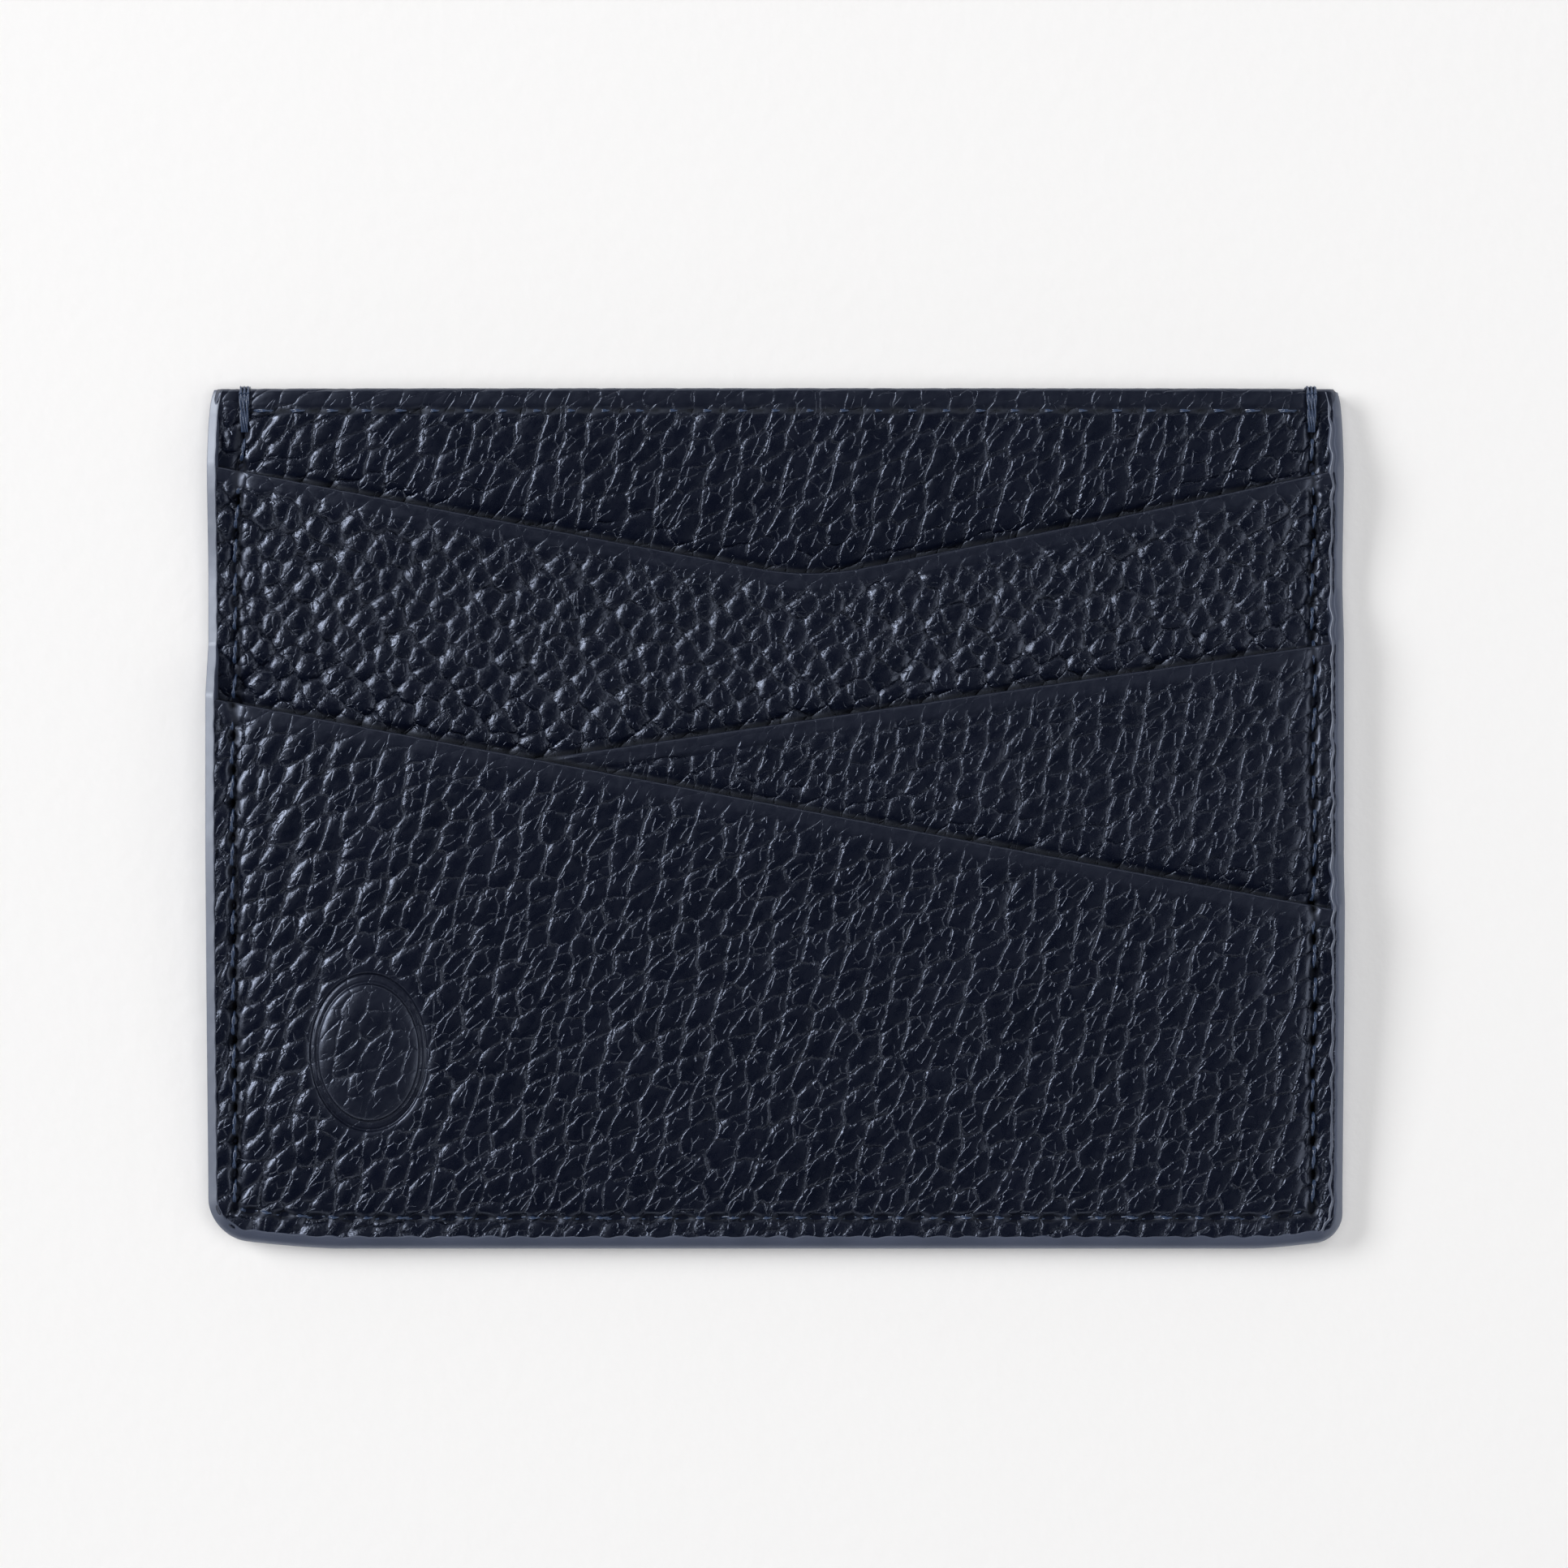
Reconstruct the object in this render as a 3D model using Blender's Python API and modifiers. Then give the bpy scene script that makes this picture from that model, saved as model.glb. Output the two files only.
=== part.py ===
"""A slim leather card holder with three crossed card slots and an open centre pocket.

It lies on its back: +X runs to the right along its width, +Y towards its open top and +Z up,
out of its front. The origin is on the table, under the middle of the holder.
Every layer is cut from thin sheet, laid on the one below and sewn through near the edge.
Heights are of a layer's front face, given as stations (y, z) with straight runs between them.
"""

import math

import bmesh
import bpy
from mathutils import Matrix, Vector

MM = 0.001

# Outline, to the outside of the painted edge
HALF_WIDTH = 50.0 * MM
BOTTOM_Y = -38.0 * MM
TOP_Y = 37.7 * MM
CORNER_RADIUS = 3.0 * MM

# Materials as cut
LEATHER = 0.6 * MM
SKIVED_LEATHER = 0.4 * MM
LINING = 0.15 * MM
TAPE = 0.1 * MM
PAINT = 0.25 * MM
THREAD_RADIUS = 0.1 * MM

# Room between layers
GLUE_GAP = 0.1 * MM
SLOT_GAP = 0.15 * MM
THREAD_GAP = 0.03 * MM
PAINT_GAP = 0.05 * MM

# The cut edges lie behind the paint, and linings stop short of them
LEATHER_X = HALF_WIDTH - PAINT - PAINT_GAP
LEATHER_BOTTOM = BOTTOM_Y + PAINT + PAINT_GAP
LINING_INSET = 0.8 * MM
TONGUE_X = 45.9 * MM

# Turned hem along the open top
HEM_RADIUS = 0.5 * MM
HEM_RETURN = 6.0 * MM
HEM_STEPS = 6
SKIVE_Y = 30.6 * MM
HEM_TAPE_Y = (33.4 * MM, 36.6 * MM)
LINING_TOP = 36.5 * MM

# Seams
SEAM_X = 47.3 * MM
SEAM_Y = -35.3 * MM
SEAM_CORNER = 1.6 * MM
SEAM_TOP = 32.9 * MM
HEM_SEAM_Y = 35.5 * MM
HEM_SEAM_X = 46.4 * MM
BARTACK_FOOT = 33.5 * MM
CREST_RAMP = (0.9 * MM, 0.3 * MM)
GROOVE_WIDTH = 0.5 * MM
GROOVE_DEPTH = 0.26 * MM

# Slot mouths as (x, y) points from left to right; the straight runs between them are the edges
UPPER_MOUTH = ((-50 * MM, 30.5 * MM), (2.2 * MM, 20.9 * MM), (50 * MM, 29.9 * MM))
MIDDLE_MOUTH = ((-50 * MM, 0.0 * MM), (50 * MM, 15.2 * MM))
LOWER_MOUTH = ((-50 * MM, 10.2 * MM), (50 * MM, -8.1 * MM))

# Where each slot's leather stops behind the next panel, and where its lining is sewn off
UPPER_LEATHER_END = -3.0 * MM
MIDDLE_LEATHER_END = -16.0 * MM
UPPER_FLOOR = -21.0 * MM
MIDDLE_FLOOR = -28.0 * MM
FLOOR_SEAM_RISE = 0.6 * MM
LINING_DROP = 5.0 * MM

# Front faces of the leather
BASE_FACE = ((40 * MM, 3.0 * MM), (30 * MM, 3.0 * MM), (22 * MM, 2.0 * MM), (-40 * MM, 2.0 * MM))
UPPER_FACE = ((40 * MM, 4.0 * MM), (30 * MM, 4.0 * MM), (22 * MM, 3.0 * MM), (-40 * MM, 3.0 * MM))
MIDDLE_FACE = ((40 * MM, 4.0 * MM), (-3 * MM, 4.0 * MM), (-8 * MM, 3.25 * MM), (-40 * MM, 3.25 * MM))
LOWER_FACE = ((40 * MM, 5.0 * MM), (-3 * MM, 5.0 * MM), (-16 * MM, 4.25 * MM), (-33 * MM, 3.0 * MM),
              (-40 * MM, 3.0 * MM))

# Front faces of the linings, which hug the leather that they back
BACK_LINING_FACE = ((40 * MM, 1.25 * MM), (30 * MM, 1.25 * MM), (28 * MM, 0.85 * MM), (-40 * MM, 0.85 * MM))
FRONT_LINING_FACE = ((40 * MM, 1.9 * MM), (30 * MM, 1.9 * MM), (22 * MM, 1.3 * MM), (-40 * MM, 1.3 * MM))
UPPER_LINING_FACE = ((40 * MM, 3.3 * MM), (30 * MM, 3.3 * MM), (22 * MM, 2.3 * MM), (-40 * MM, 2.3 * MM))
MIDDLE_LINING_FACE = ((40 * MM, 3.3 * MM), (-3 * MM, 3.3 * MM), (-8 * MM, 2.55 * MM), (-16.4 * MM, 2.55 * MM),
                      (-18 * MM, 2.85 * MM), (-21.5 * MM, 2.85 * MM), (-25 * MM, 2.3 * MM), (-40 * MM, 2.3 * MM))
LOWER_LINING_FACE = tuple((y, z - LEATHER - GLUE_GAP) for y, z in LOWER_FACE)

# How high the paint stands beside the stacked layers, down each side and along the bottom
LEFT_PAINT = ((40 * MM, 2.9 * MM), (31.2 * MM, 2.9 * MM), (29.8 * MM, 3.8 * MM), (22 * MM, 2.9 * MM),
              (11 * MM, 2.9 * MM), (9 * MM, 4.9 * MM), (-3 * MM, 4.9 * MM), (-16 * MM, 4.15 * MM),
              (-33 * MM, 2.9 * MM), (-40 * MM, 2.9 * MM))
RIGHT_PAINT = ((40 * MM, 2.9 * MM), (31.2 * MM, 2.9 * MM), (29.8 * MM, 3.8 * MM), (22 * MM, 2.9 * MM),
               (16 * MM, 2.9 * MM), (14.6 * MM, 3.9 * MM), (-3 * MM, 3.9 * MM), (-7.4 * MM, 4.6 * MM),
               (-16 * MM, 4.15 * MM), (-33 * MM, 2.9 * MM), (-40 * MM, 2.9 * MM))
PAINT_FOOT = 0.05 * MM
PAINT_JOINT = 0.05 * MM

# Blind-stamped oval near the lower left corner
STAMP_CENTRE = (-35.7 * MM, -20.6 * MM)
STAMP_SIZE = (9.6 * MM, 13.0 * MM)
STAMP_LINE = 0.45 * MM
STAMP_DEPTH = 0.2 * MM


def clear_scene():
    for obj in list(bpy.data.objects):
        bpy.data.objects.remove(obj)


def new_collection(name):
    collection = bpy.data.collections.new(name)
    bpy.context.scene.collection.children.link(collection)
    return collection


def new_material(name, colour, roughness):
    material = bpy.data.materials.new(name)
    material.use_nodes = True
    shader = material.node_tree.nodes["Principled BSDF"]
    shader.inputs["Base Color"].default_value = (*colour, 1.0)
    shader.inputs["Roughness"].default_value = roughness
    shader.inputs["Metallic"].default_value = 0.0
    return material


def level(stations, y):
    """The height at y on the straight runs between stations, which go from the top down."""
    for (high_y, high_z), (low_y, low_z) in zip(stations, stations[1:]):
        if y >= low_y:
            share = (y - low_y) / (high_y - low_y)
            return low_z + share * (high_z - low_z)
    return stations[-1][1]


def mouth_y(mouth, x):
    """How far up the holder a slot's mouth is at x."""
    for (left_x, left_y), (right_x, right_y) in zip(mouth, mouth[1:]):
        if x <= right_x:
            share = (x - left_x) / (right_x - left_x)
            return left_y + share * (right_y - left_y)
    return mouth[-1][1]


def trimmed_mouth(mouth, half_width, drop=0.0):
    """The mouth's points within half_width, lowered by drop, from left to right."""
    inner = [(x, y) for x, y in mouth if abs(x) < half_width]
    ends = [(-half_width, mouth_y(mouth, -half_width)), (half_width, mouth_y(mouth, half_width))]
    points = [ends[0], *inner, ends[1]]
    return [(x, y - drop) for x, y in points]


def corner(side, half_width, bottom, radius, steps=6):
    """A round bottom corner, from the side down to the bottom edge."""
    centre_x, centre_y = side * (half_width - radius), bottom + radius
    turns = [math.pi / 2 * i / steps for i in range(steps + 1)]
    return [(centre_x + side * radius * math.cos(t), centre_y - radius * math.sin(t)) for t in turns]


def panel_outline(top, half_width, bottom, radius):
    """A panel with round bottom corners: down the left side, along the bottom, and back over top."""
    return [*corner(-1, half_width, bottom, radius), *reversed(corner(1, half_width, bottom, radius)),
            *reversed(top)]


def strip_outline(top, half_width, bottom):
    return [(-half_width, bottom), (half_width, bottom), *reversed(top)]


def tongue_outline(top, half_width, shoulder, bottom):
    """A T-shaped lining: full width at its shoulders, and narrower where it hangs below them."""
    return [(-half_width, shoulder), (-TONGUE_X, shoulder), (-TONGUE_X, bottom), (TONGUE_X, bottom),
            (TONGUE_X, shoulder), (half_width, shoulder), *reversed(top)]


def flat_sheet(outline, cut_ys):
    """A flat face with that outline, divided across at each y."""
    bm = bmesh.new()
    bm.faces.new([bm.verts.new((x, y, 0.0)) for x, y in outline])
    for y in cut_ys:
        everything = [*bm.verts, *bm.edges, *bm.faces]
        bmesh.ops.bisect_plane(bm, geom=everything, dist=1e-7, plane_co=(0, y, 0), plane_no=(0, 1, 0))
    return bm


def turn_hem(bm, fold_y):
    """Folds the top edge over to the inside, round a half circle and down to its return's end."""
    centre = Vector((0.0, fold_y, -HEM_RADIUS))
    turn = Matrix.Rotation(-math.pi / HEM_STEPS, 3, "X")
    edges = [e for e in bm.edges if all(abs(v.co.y - fold_y) < 1e-7 for v in e.verts)]
    for step in range(HEM_STEPS + 1):
        made = bmesh.ops.extrude_edge_only(bm, edges=edges)["geom"]
        verts = [v for v in made if isinstance(v, bmesh.types.BMVert)]
        edges = [e for e in made if isinstance(e, bmesh.types.BMEdge)]
        if step < HEM_STEPS:
            bmesh.ops.rotate(bm, verts=verts, cent=centre, matrix=turn)
        else:
            bmesh.ops.translate(bm, verts=verts, vec=(0.0, -HEM_RETURN, 0.0))


def place(name, mesh, collection, material):
    obj = bpy.data.objects.new(name, mesh)
    mesh.materials.append(material)
    collection.objects.link(obj)
    return obj


def mesh_of(bm, name):
    mesh = bpy.data.meshes.new(name)
    bm.to_mesh(mesh)
    bm.free()
    return mesh


def add_sheet(name, outline, stations, thickness, collection, material, hem=False, faces_back=False):
    """A sheet of that thickness whose front face follows the stations. A hemmed one is skived."""
    inner_ys = [y for y, _ in stations[1:-1]]
    bm = flat_sheet(outline, [*inner_ys, SKIVE_Y] if hem else inner_ys)
    if hem:
        turn_hem(bm, TOP_Y - HEM_RADIUS)
    if faces_back:
        bmesh.ops.scale(bm, vec=(1, 1, -1), verts=bm.verts)
    bmesh.ops.recalc_face_normals(bm, faces=bm.faces)
    front = max(bm.faces, key=lambda f: f.calc_area())
    wanted = -1 if faces_back else 1
    if front.normal.z * wanted < 0:
        bmesh.ops.reverse_faces(bm, faces=bm.faces)
    for vert in bm.verts:
        vert.co.z += level(stations, vert.co.y)
    obj = place(name, mesh_of(bm, name), collection, material)
    solidify = obj.modifiers.new("Thickness", "SOLIDIFY")
    solidify.thickness = thickness
    solidify.offset = -1.0
    solidify.use_even_offset = True
    if hem:
        full = obj.vertex_groups.new(name="full_thickness")
        full.add([v.index for v in obj.data.vertices if v.co.y < SKIVE_Y - 0.1 * MM], 1.0, "REPLACE")
        solidify.vertex_group = full.name
        solidify.thickness_vertex_group = SKIVED_LEATHER / LEATHER
    return obj


def add_tape(name, low_z, collection, material):
    """Reinforcing tape inside a hem."""
    low_y, high_y = HEM_TAPE_Y
    bpy.ops.mesh.primitive_cube_add(size=1.0, location=(0.0, (low_y + high_y) / 2, low_z + TAPE / 2))
    tape = bpy.context.object
    tape.name = name
    tape.scale = (2 * (LEATHER_X - LINING_INSET), high_y - low_y, TAPE)
    tape.data.materials.append(material)
    for holder in list(tape.users_collection):
        holder.objects.unlink(tape)
    collection.objects.link(tape)
    bpy.context.view_layer.update()
    tape.data.transform(tape.matrix_world)
    tape.matrix_world = Matrix.Identity(4)
    return tape


def add_thread(name, points, collection, material, radius=THREAD_RADIUS):
    """A run of thread along the points."""
    curve = bpy.data.curves.new(name, "CURVE")
    curve.dimensions = "3D"
    curve.bevel_depth = radius
    curve.bevel_resolution = 1
    curve.use_fill_caps = True
    spline = curve.splines.new("POLY")
    spline.points.add(len(points) - 1)
    for place_of, point in zip(spline.points, points):
        place_of.co = (*point, 1.0)
    curve.materials.append(material)
    thread = bpy.data.objects.new(name, curve)
    collection.objects.link(thread)
    return thread


def front_z(x, y):
    """The height of whichever leather shows at (x, y)."""
    if y <= mouth_y(LOWER_MOUTH, x):
        return level(LOWER_FACE, y)
    if y <= mouth_y(MIDDLE_MOUTH, x):
        return level(MIDDLE_FACE, y)
    if y <= mouth_y(UPPER_MOUTH, x):
        return level(UPPER_FACE, y)
    return level(BASE_FACE, y)


def side_run(side):
    """The front seam down one side: it follows the leather, and climbs over each slot's edge."""
    x, above, beyond = side * SEAM_X, *CREST_RAMP
    shown = [mouth for mouth in (UPPER_MOUTH, MIDDLE_MOUTH, LOWER_MOUTH)
             if front_z(x, mouth_y(mouth, x)) > front_z(x, mouth_y(mouth, x) + above)]
    crests = [mouth_y(mouth, x) for mouth in shown]
    bends = {y for face in (BASE_FACE, UPPER_FACE, MIDDLE_FACE, LOWER_FACE) for y, _ in face[1:-1]}
    clear = [y for y in bends if all(not -0.2 * MM < y - crest < 1.5 * above for crest in crests)]
    heights = {y: front_z(x, y) for y in [SEAM_TOP, *clear, SEAM_Y + SEAM_CORNER]}
    for crest in crests:
        heights[crest + above] = front_z(x, crest + above)
        heights[crest + beyond] = front_z(x, crest)
    rise = THREAD_RADIUS + THREAD_GAP
    return [Vector((x, y, heights[y] + rise)) for y in sorted(heights, reverse=True)
            if SEAM_Y < y <= SEAM_TOP]


def seam_corner(side, z, steps=3):
    """The seam's round bottom corner, from the side to the bottom run."""
    points = corner(side, SEAM_X, SEAM_Y, SEAM_CORNER, steps)[1:]
    return [Vector((x, y, z)) for x, y in points]


def add_paint(name, path, stations, collection, material):
    """A coat of edge paint: a strip that stands along the path, thick outwards."""
    bm = bmesh.new()
    feet = [bm.verts.new((x, y, PAINT_FOOT)) for x, y in path]
    edges = [bm.edges.new(pair) for pair in zip(feet, feet[1:])]
    made = bmesh.ops.extrude_edge_only(bm, edges=edges)["geom"]
    for vert in made:
        if isinstance(vert, bmesh.types.BMVert):
            vert.co.z = level(stations, vert.co.y)
    bmesh.ops.recalc_face_normals(bm, faces=bm.faces)
    first = bm.faces[:][0]
    outward = Vector((first.calc_center_median().x, first.calc_center_median().y, 0.0))
    if first.normal.dot(outward) < 0:
        bmesh.ops.reverse_faces(bm, faces=bm.faces)
    obj = place(name, mesh_of(bm, name), collection, material)
    solidify = obj.modifiers.new("Coat", "SOLIDIFY")
    solidify.thickness = PAINT
    solidify.offset = -1.0
    solidify.use_even_offset = True
    return obj


def cut(obj, cutter):
    cutter.hide_render = True
    cutter.display_type = "WIRE"
    boolean = obj.modifiers.new("Cut", "BOOLEAN")
    boolean.operation = "DIFFERENCE"
    boolean.solver = "EXACT"
    boolean.object = cutter


def groove_cutter(collection):
    """A square-sided channel along the seam on the back, open at the top."""
    path = [(-SEAM_X, TOP_Y + MM), *corner(-1, SEAM_X, SEAM_Y, SEAM_CORNER, 3),
            *reversed(corner(1, SEAM_X, SEAM_Y, SEAM_CORNER, 3)), (SEAM_X, TOP_Y + MM)]
    bm = bmesh.new()
    inner = [bm.verts.new((x, y, -GROOVE_DEPTH)) for x, y in path]
    edges = [bm.edges.new(pair) for pair in zip(inner, inner[1:])]
    made = bmesh.ops.extrude_edge_only(bm, edges=edges)["geom"]
    tops = [v for v in made if isinstance(v, bmesh.types.BMVert)]
    bmesh.ops.translate(bm, verts=tops, vec=(0.0, 0.0, 2 * GROOVE_DEPTH))
    bmesh.ops.recalc_face_normals(bm, faces=bm.faces)
    cutter = bpy.data.objects.new("seam_groove_cutter", mesh_of(bm, "seam_groove_cutter"))
    collection.objects.link(cutter)
    solidify = cutter.modifiers.new("Width", "SOLIDIFY")
    solidify.thickness = GROOVE_WIDTH
    solidify.offset = 0.0
    solidify.use_even_offset = True
    return cutter


def stamp_cutter(collection):
    """A slim oval ring that lies on the sloping lower panel and sinks in by the stamp's depth."""
    width, height = STAMP_SIZE
    x, y = STAMP_CENTRE
    bpy.ops.mesh.primitive_torus_add(major_segments=32, minor_segments=6, major_radius=width / 2,
                                     minor_radius=STAMP_LINE / 2, location=(0.0, 0.0, 0.0))
    ring = bpy.context.object
    ring.name = "stamp_cutter"
    for vert in ring.data.vertices:
        radial = Vector((vert.co.x, vert.co.y)).normalized()
        vert.co.y += radial.y * (height - width) / 2
    slope = math.atan2(level(LOWER_FACE, y + height / 2) - level(LOWER_FACE, y - height / 2), height)
    seat = level(LOWER_FACE, y) + STAMP_LINE / 2 - STAMP_DEPTH
    ring.data.transform(Matrix.Translation((x, y, seat)) @ Matrix.Rotation(slope, 4, "X"))
    for holder in list(ring.users_collection):
        holder.objects.unlink(ring)
    collection.objects.link(ring)
    return ring


def add_leather(parts, cutters, leather):
    top_fold = [(-LEATHER_X, TOP_Y - HEM_RADIUS), (LEATHER_X, TOP_Y - HEM_RADIUS)]
    whole = panel_outline(top_fold, LEATHER_X, LEATHER_BOTTOM, CORNER_RADIUS)
    back = add_sheet("back_panel", whole, ((40 * MM, 0.0), (-40 * MM, 0.0)), LEATHER, parts, leather,
                     hem=True, faces_back=True)
    cut(back, groove_cutter(cutters))
    add_sheet("front_base_panel", whole, BASE_FACE, LEATHER, parts, leather, hem=True)
    upper = strip_outline(trimmed_mouth(UPPER_MOUTH, LEATHER_X), LEATHER_X, UPPER_LEATHER_END)
    add_sheet("upper_slot_panel", upper, UPPER_FACE, LEATHER, parts, leather)
    middle = strip_outline(trimmed_mouth(MIDDLE_MOUTH, LEATHER_X), LEATHER_X, MIDDLE_LEATHER_END)
    add_sheet("middle_slot_panel", middle, MIDDLE_FACE, LEATHER, parts, leather)
    lower_top = trimmed_mouth(LOWER_MOUTH, LEATHER_X)
    lower = add_sheet("lower_slot_panel", panel_outline(lower_top, LEATHER_X, LEATHER_BOTTOM, CORNER_RADIUS),
                      LOWER_FACE, LEATHER, parts, leather)
    cut(lower, stamp_cutter(cutters))


def add_linings(parts, fabric):
    half, bottom = LEATHER_X - LINING_INSET, LEATHER_BOTTOM + LINING_INSET
    straight_top = [(-half, LINING_TOP), (half, LINING_TOP)]
    whole = panel_outline(straight_top, half, bottom, CORNER_RADIUS)
    add_sheet("back_lining", whole, BACK_LINING_FACE, LINING, parts, fabric)
    add_sheet("front_lining", whole, FRONT_LINING_FACE, LINING, parts, fabric)
    upper_top = trimmed_mouth(UPPER_MOUTH, half, LINING_DROP)
    add_sheet("upper_slot_lining", tongue_outline(upper_top, half, UPPER_LEATHER_END, UPPER_FLOOR),
              UPPER_LINING_FACE, LINING, parts, fabric)
    middle_top = trimmed_mouth(MIDDLE_MOUTH, half, LINING_DROP)
    add_sheet("middle_slot_lining", tongue_outline(middle_top, half, MIDDLE_LEATHER_END, MIDDLE_FLOOR),
              MIDDLE_LINING_FACE, LINING, parts, fabric)
    lower_top = trimmed_mouth(LOWER_MOUTH, half, LINING_DROP)
    add_sheet("lower_slot_lining", panel_outline(lower_top, half, bottom, CORNER_RADIUS),
              LOWER_LINING_FACE, LINING, parts, fabric)


def add_edge_paint(parts, paint):
    """Three coats that meet at the start of the bottom corners."""
    top, joint = TOP_Y - HEM_RADIUS, BOTTOM_Y + CORNER_RADIUS
    for side, stations, name in ((-1, LEFT_PAINT, "edge_paint_left"), (1, RIGHT_PAINT, "edge_paint_right")):
        path = [(side * HALF_WIDTH, y) for y, _ in stations if joint + PAINT_JOINT < y < top]
        path = [(side * HALF_WIDTH, top), *path, (side * HALF_WIDTH, joint + PAINT_JOINT)]
        add_paint(name, path, stations, parts, paint)
    round_bottom = [*corner(-1, HALF_WIDTH, BOTTOM_Y, CORNER_RADIUS),
                    *reversed(corner(1, HALF_WIDTH, BOTTOM_Y, CORNER_RADIUS))]
    add_paint("edge_paint_bottom", round_bottom, LEFT_PAINT, parts, paint)


def add_seams(parts, thread):
    rise = THREAD_RADIUS + THREAD_GAP
    low = level(LOWER_FACE, SEAM_Y) + rise
    front = [*side_run(-1)[:-1], *corner_points(low)]
    add_thread("edge_seam_front_thread", [*front, *reversed(side_run(1)[:-1])], parts, thread)
    in_groove = GROOVE_DEPTH / 2
    back = [Vector((-SEAM_X, SEAM_TOP, in_groove)), *corner_points(in_groove),
            Vector((SEAM_X, SEAM_TOP, in_groove))]
    add_thread("edge_seam_back_thread", back, parts, thread)

    hem_threads = (("front_hem_seam_thread", level(BASE_FACE, HEM_SEAM_Y) + rise),
                   ("front_hem_inner_thread", level(FRONT_LINING_FACE, HEM_SEAM_Y) - LINING - rise),
                   ("back_hem_inner_thread", level(BACK_LINING_FACE, HEM_SEAM_Y) + rise))
    for name, z in hem_threads:
        add_thread(name, [(-HEM_SEAM_X, HEM_SEAM_Y, z), (HEM_SEAM_X, HEM_SEAM_Y, z)], parts, thread)

    floors = (("upper_slot_floor_seam", UPPER_FLOOR, UPPER_LINING_FACE),
              ("middle_slot_floor_seam", MIDDLE_FLOOR, MIDDLE_LINING_FACE))
    for name, floor, face in floors:
        y = floor + FLOOR_SEAM_RISE
        z = level(face, y) + rise
        add_thread(name, [(-TONGUE_X + MM, y, z), (TONGUE_X - MM, y, z)], parts, thread)


def corner_points(z):
    """Both bottom corners of the edge seam at height z, from left to right."""
    return [Vector((-SEAM_X, SEAM_Y + SEAM_CORNER, z)), *seam_corner(-1, z), *reversed(seam_corner(1, z)),
            Vector((SEAM_X, SEAM_Y + SEAM_CORNER, z))]


def add_bartacks(parts, thread):
    """Loops that tie the front to the back, over the open top at each end of the edge seam."""
    front, back = level(BASE_FACE, TOP_Y) + THREAD_RADIUS + THREAD_GAP, GROOVE_DEPTH / 2
    crest = TOP_Y + 0.2 * MM
    section = [(BARTACK_FOOT, back), (TOP_Y - 0.3 * MM, back), (crest - 0.05 * MM, back + 0.15 * MM),
               (crest, back + 0.5 * MM), (crest, front - 0.7 * MM), (crest - 0.1 * MM, front - 0.3 * MM),
               (TOP_Y - 0.15 * MM, front), (BARTACK_FOOT, front)]
    for side, name in ((-1, "left_bartack"), (1, "right_bartack")):
        add_thread(name, [(side * SEAM_X, y, z) for y, z in section], parts, thread)


def main():
    clear_scene()
    parts, cutters = new_collection("card_holder"), new_collection("cutters")
    leather = new_material("navy_leather", (0.012, 0.016, 0.032), 0.45)
    fabric = new_material("navy_lining", (0.014, 0.017, 0.03), 0.85)
    tape = new_material("hem_tape", (0.35, 0.35, 0.34), 0.8)
    thread = new_material("blue_thread", (0.03, 0.05, 0.12), 0.5)
    paint = new_material("slate_edge_paint", (0.11, 0.13, 0.2), 0.4)

    add_leather(parts, cutters, leather)
    add_linings(parts, fabric)
    hem_inside = SKIVED_LEATHER + (2 * HEM_RADIUS - 2 * SKIVED_LEATHER - TAPE) / 2
    add_tape("back_hem_tape", hem_inside, parts, tape)
    add_tape("front_hem_tape", level(BASE_FACE, TOP_Y) - hem_inside - TAPE, parts, tape)
    add_edge_paint(parts, paint)
    add_seams(parts, thread)
    add_bartacks(parts, thread)


main()
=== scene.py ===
"""The card holder as it is made up: lined pocket, three slot panels, painted edges and waxed thread."""
import math

import bmesh
import bpy
import numpy as np
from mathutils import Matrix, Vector


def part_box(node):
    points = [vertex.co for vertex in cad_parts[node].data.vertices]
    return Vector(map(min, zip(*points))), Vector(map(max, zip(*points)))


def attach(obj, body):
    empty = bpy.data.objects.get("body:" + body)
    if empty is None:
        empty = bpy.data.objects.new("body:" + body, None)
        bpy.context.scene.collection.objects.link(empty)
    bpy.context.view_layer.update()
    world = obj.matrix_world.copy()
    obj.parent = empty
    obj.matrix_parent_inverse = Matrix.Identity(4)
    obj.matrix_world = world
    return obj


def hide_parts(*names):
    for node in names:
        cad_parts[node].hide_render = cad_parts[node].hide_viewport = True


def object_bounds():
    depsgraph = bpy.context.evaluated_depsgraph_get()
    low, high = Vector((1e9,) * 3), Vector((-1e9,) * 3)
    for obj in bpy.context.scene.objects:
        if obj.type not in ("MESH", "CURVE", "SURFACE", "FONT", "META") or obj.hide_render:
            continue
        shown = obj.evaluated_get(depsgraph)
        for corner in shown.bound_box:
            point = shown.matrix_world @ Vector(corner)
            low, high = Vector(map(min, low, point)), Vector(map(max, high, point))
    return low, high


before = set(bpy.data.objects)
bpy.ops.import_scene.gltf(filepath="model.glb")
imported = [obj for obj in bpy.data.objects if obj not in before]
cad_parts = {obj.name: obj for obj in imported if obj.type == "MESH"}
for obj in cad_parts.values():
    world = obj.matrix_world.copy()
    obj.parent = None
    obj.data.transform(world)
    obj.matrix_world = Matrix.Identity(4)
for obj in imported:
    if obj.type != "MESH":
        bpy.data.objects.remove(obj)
cad_low, cad_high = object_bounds()
MM = 0.001

# The view: the finished holder lies on its back on a pale table and is looked at from straight
# above. A softbox low on the left glints in the creases of the grain, a dim card stands on the
# right, and a wide sheet overhead fills in without a reflection, so that flat leather stays dark.
VIEW_CENTRE = Vector((0.75 * MM, 2.97 * MM, 1.5 * MM))
VIEW_WIDTH = 138.4 * MM
LENS = 100.0
SENSOR = 36.0

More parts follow.
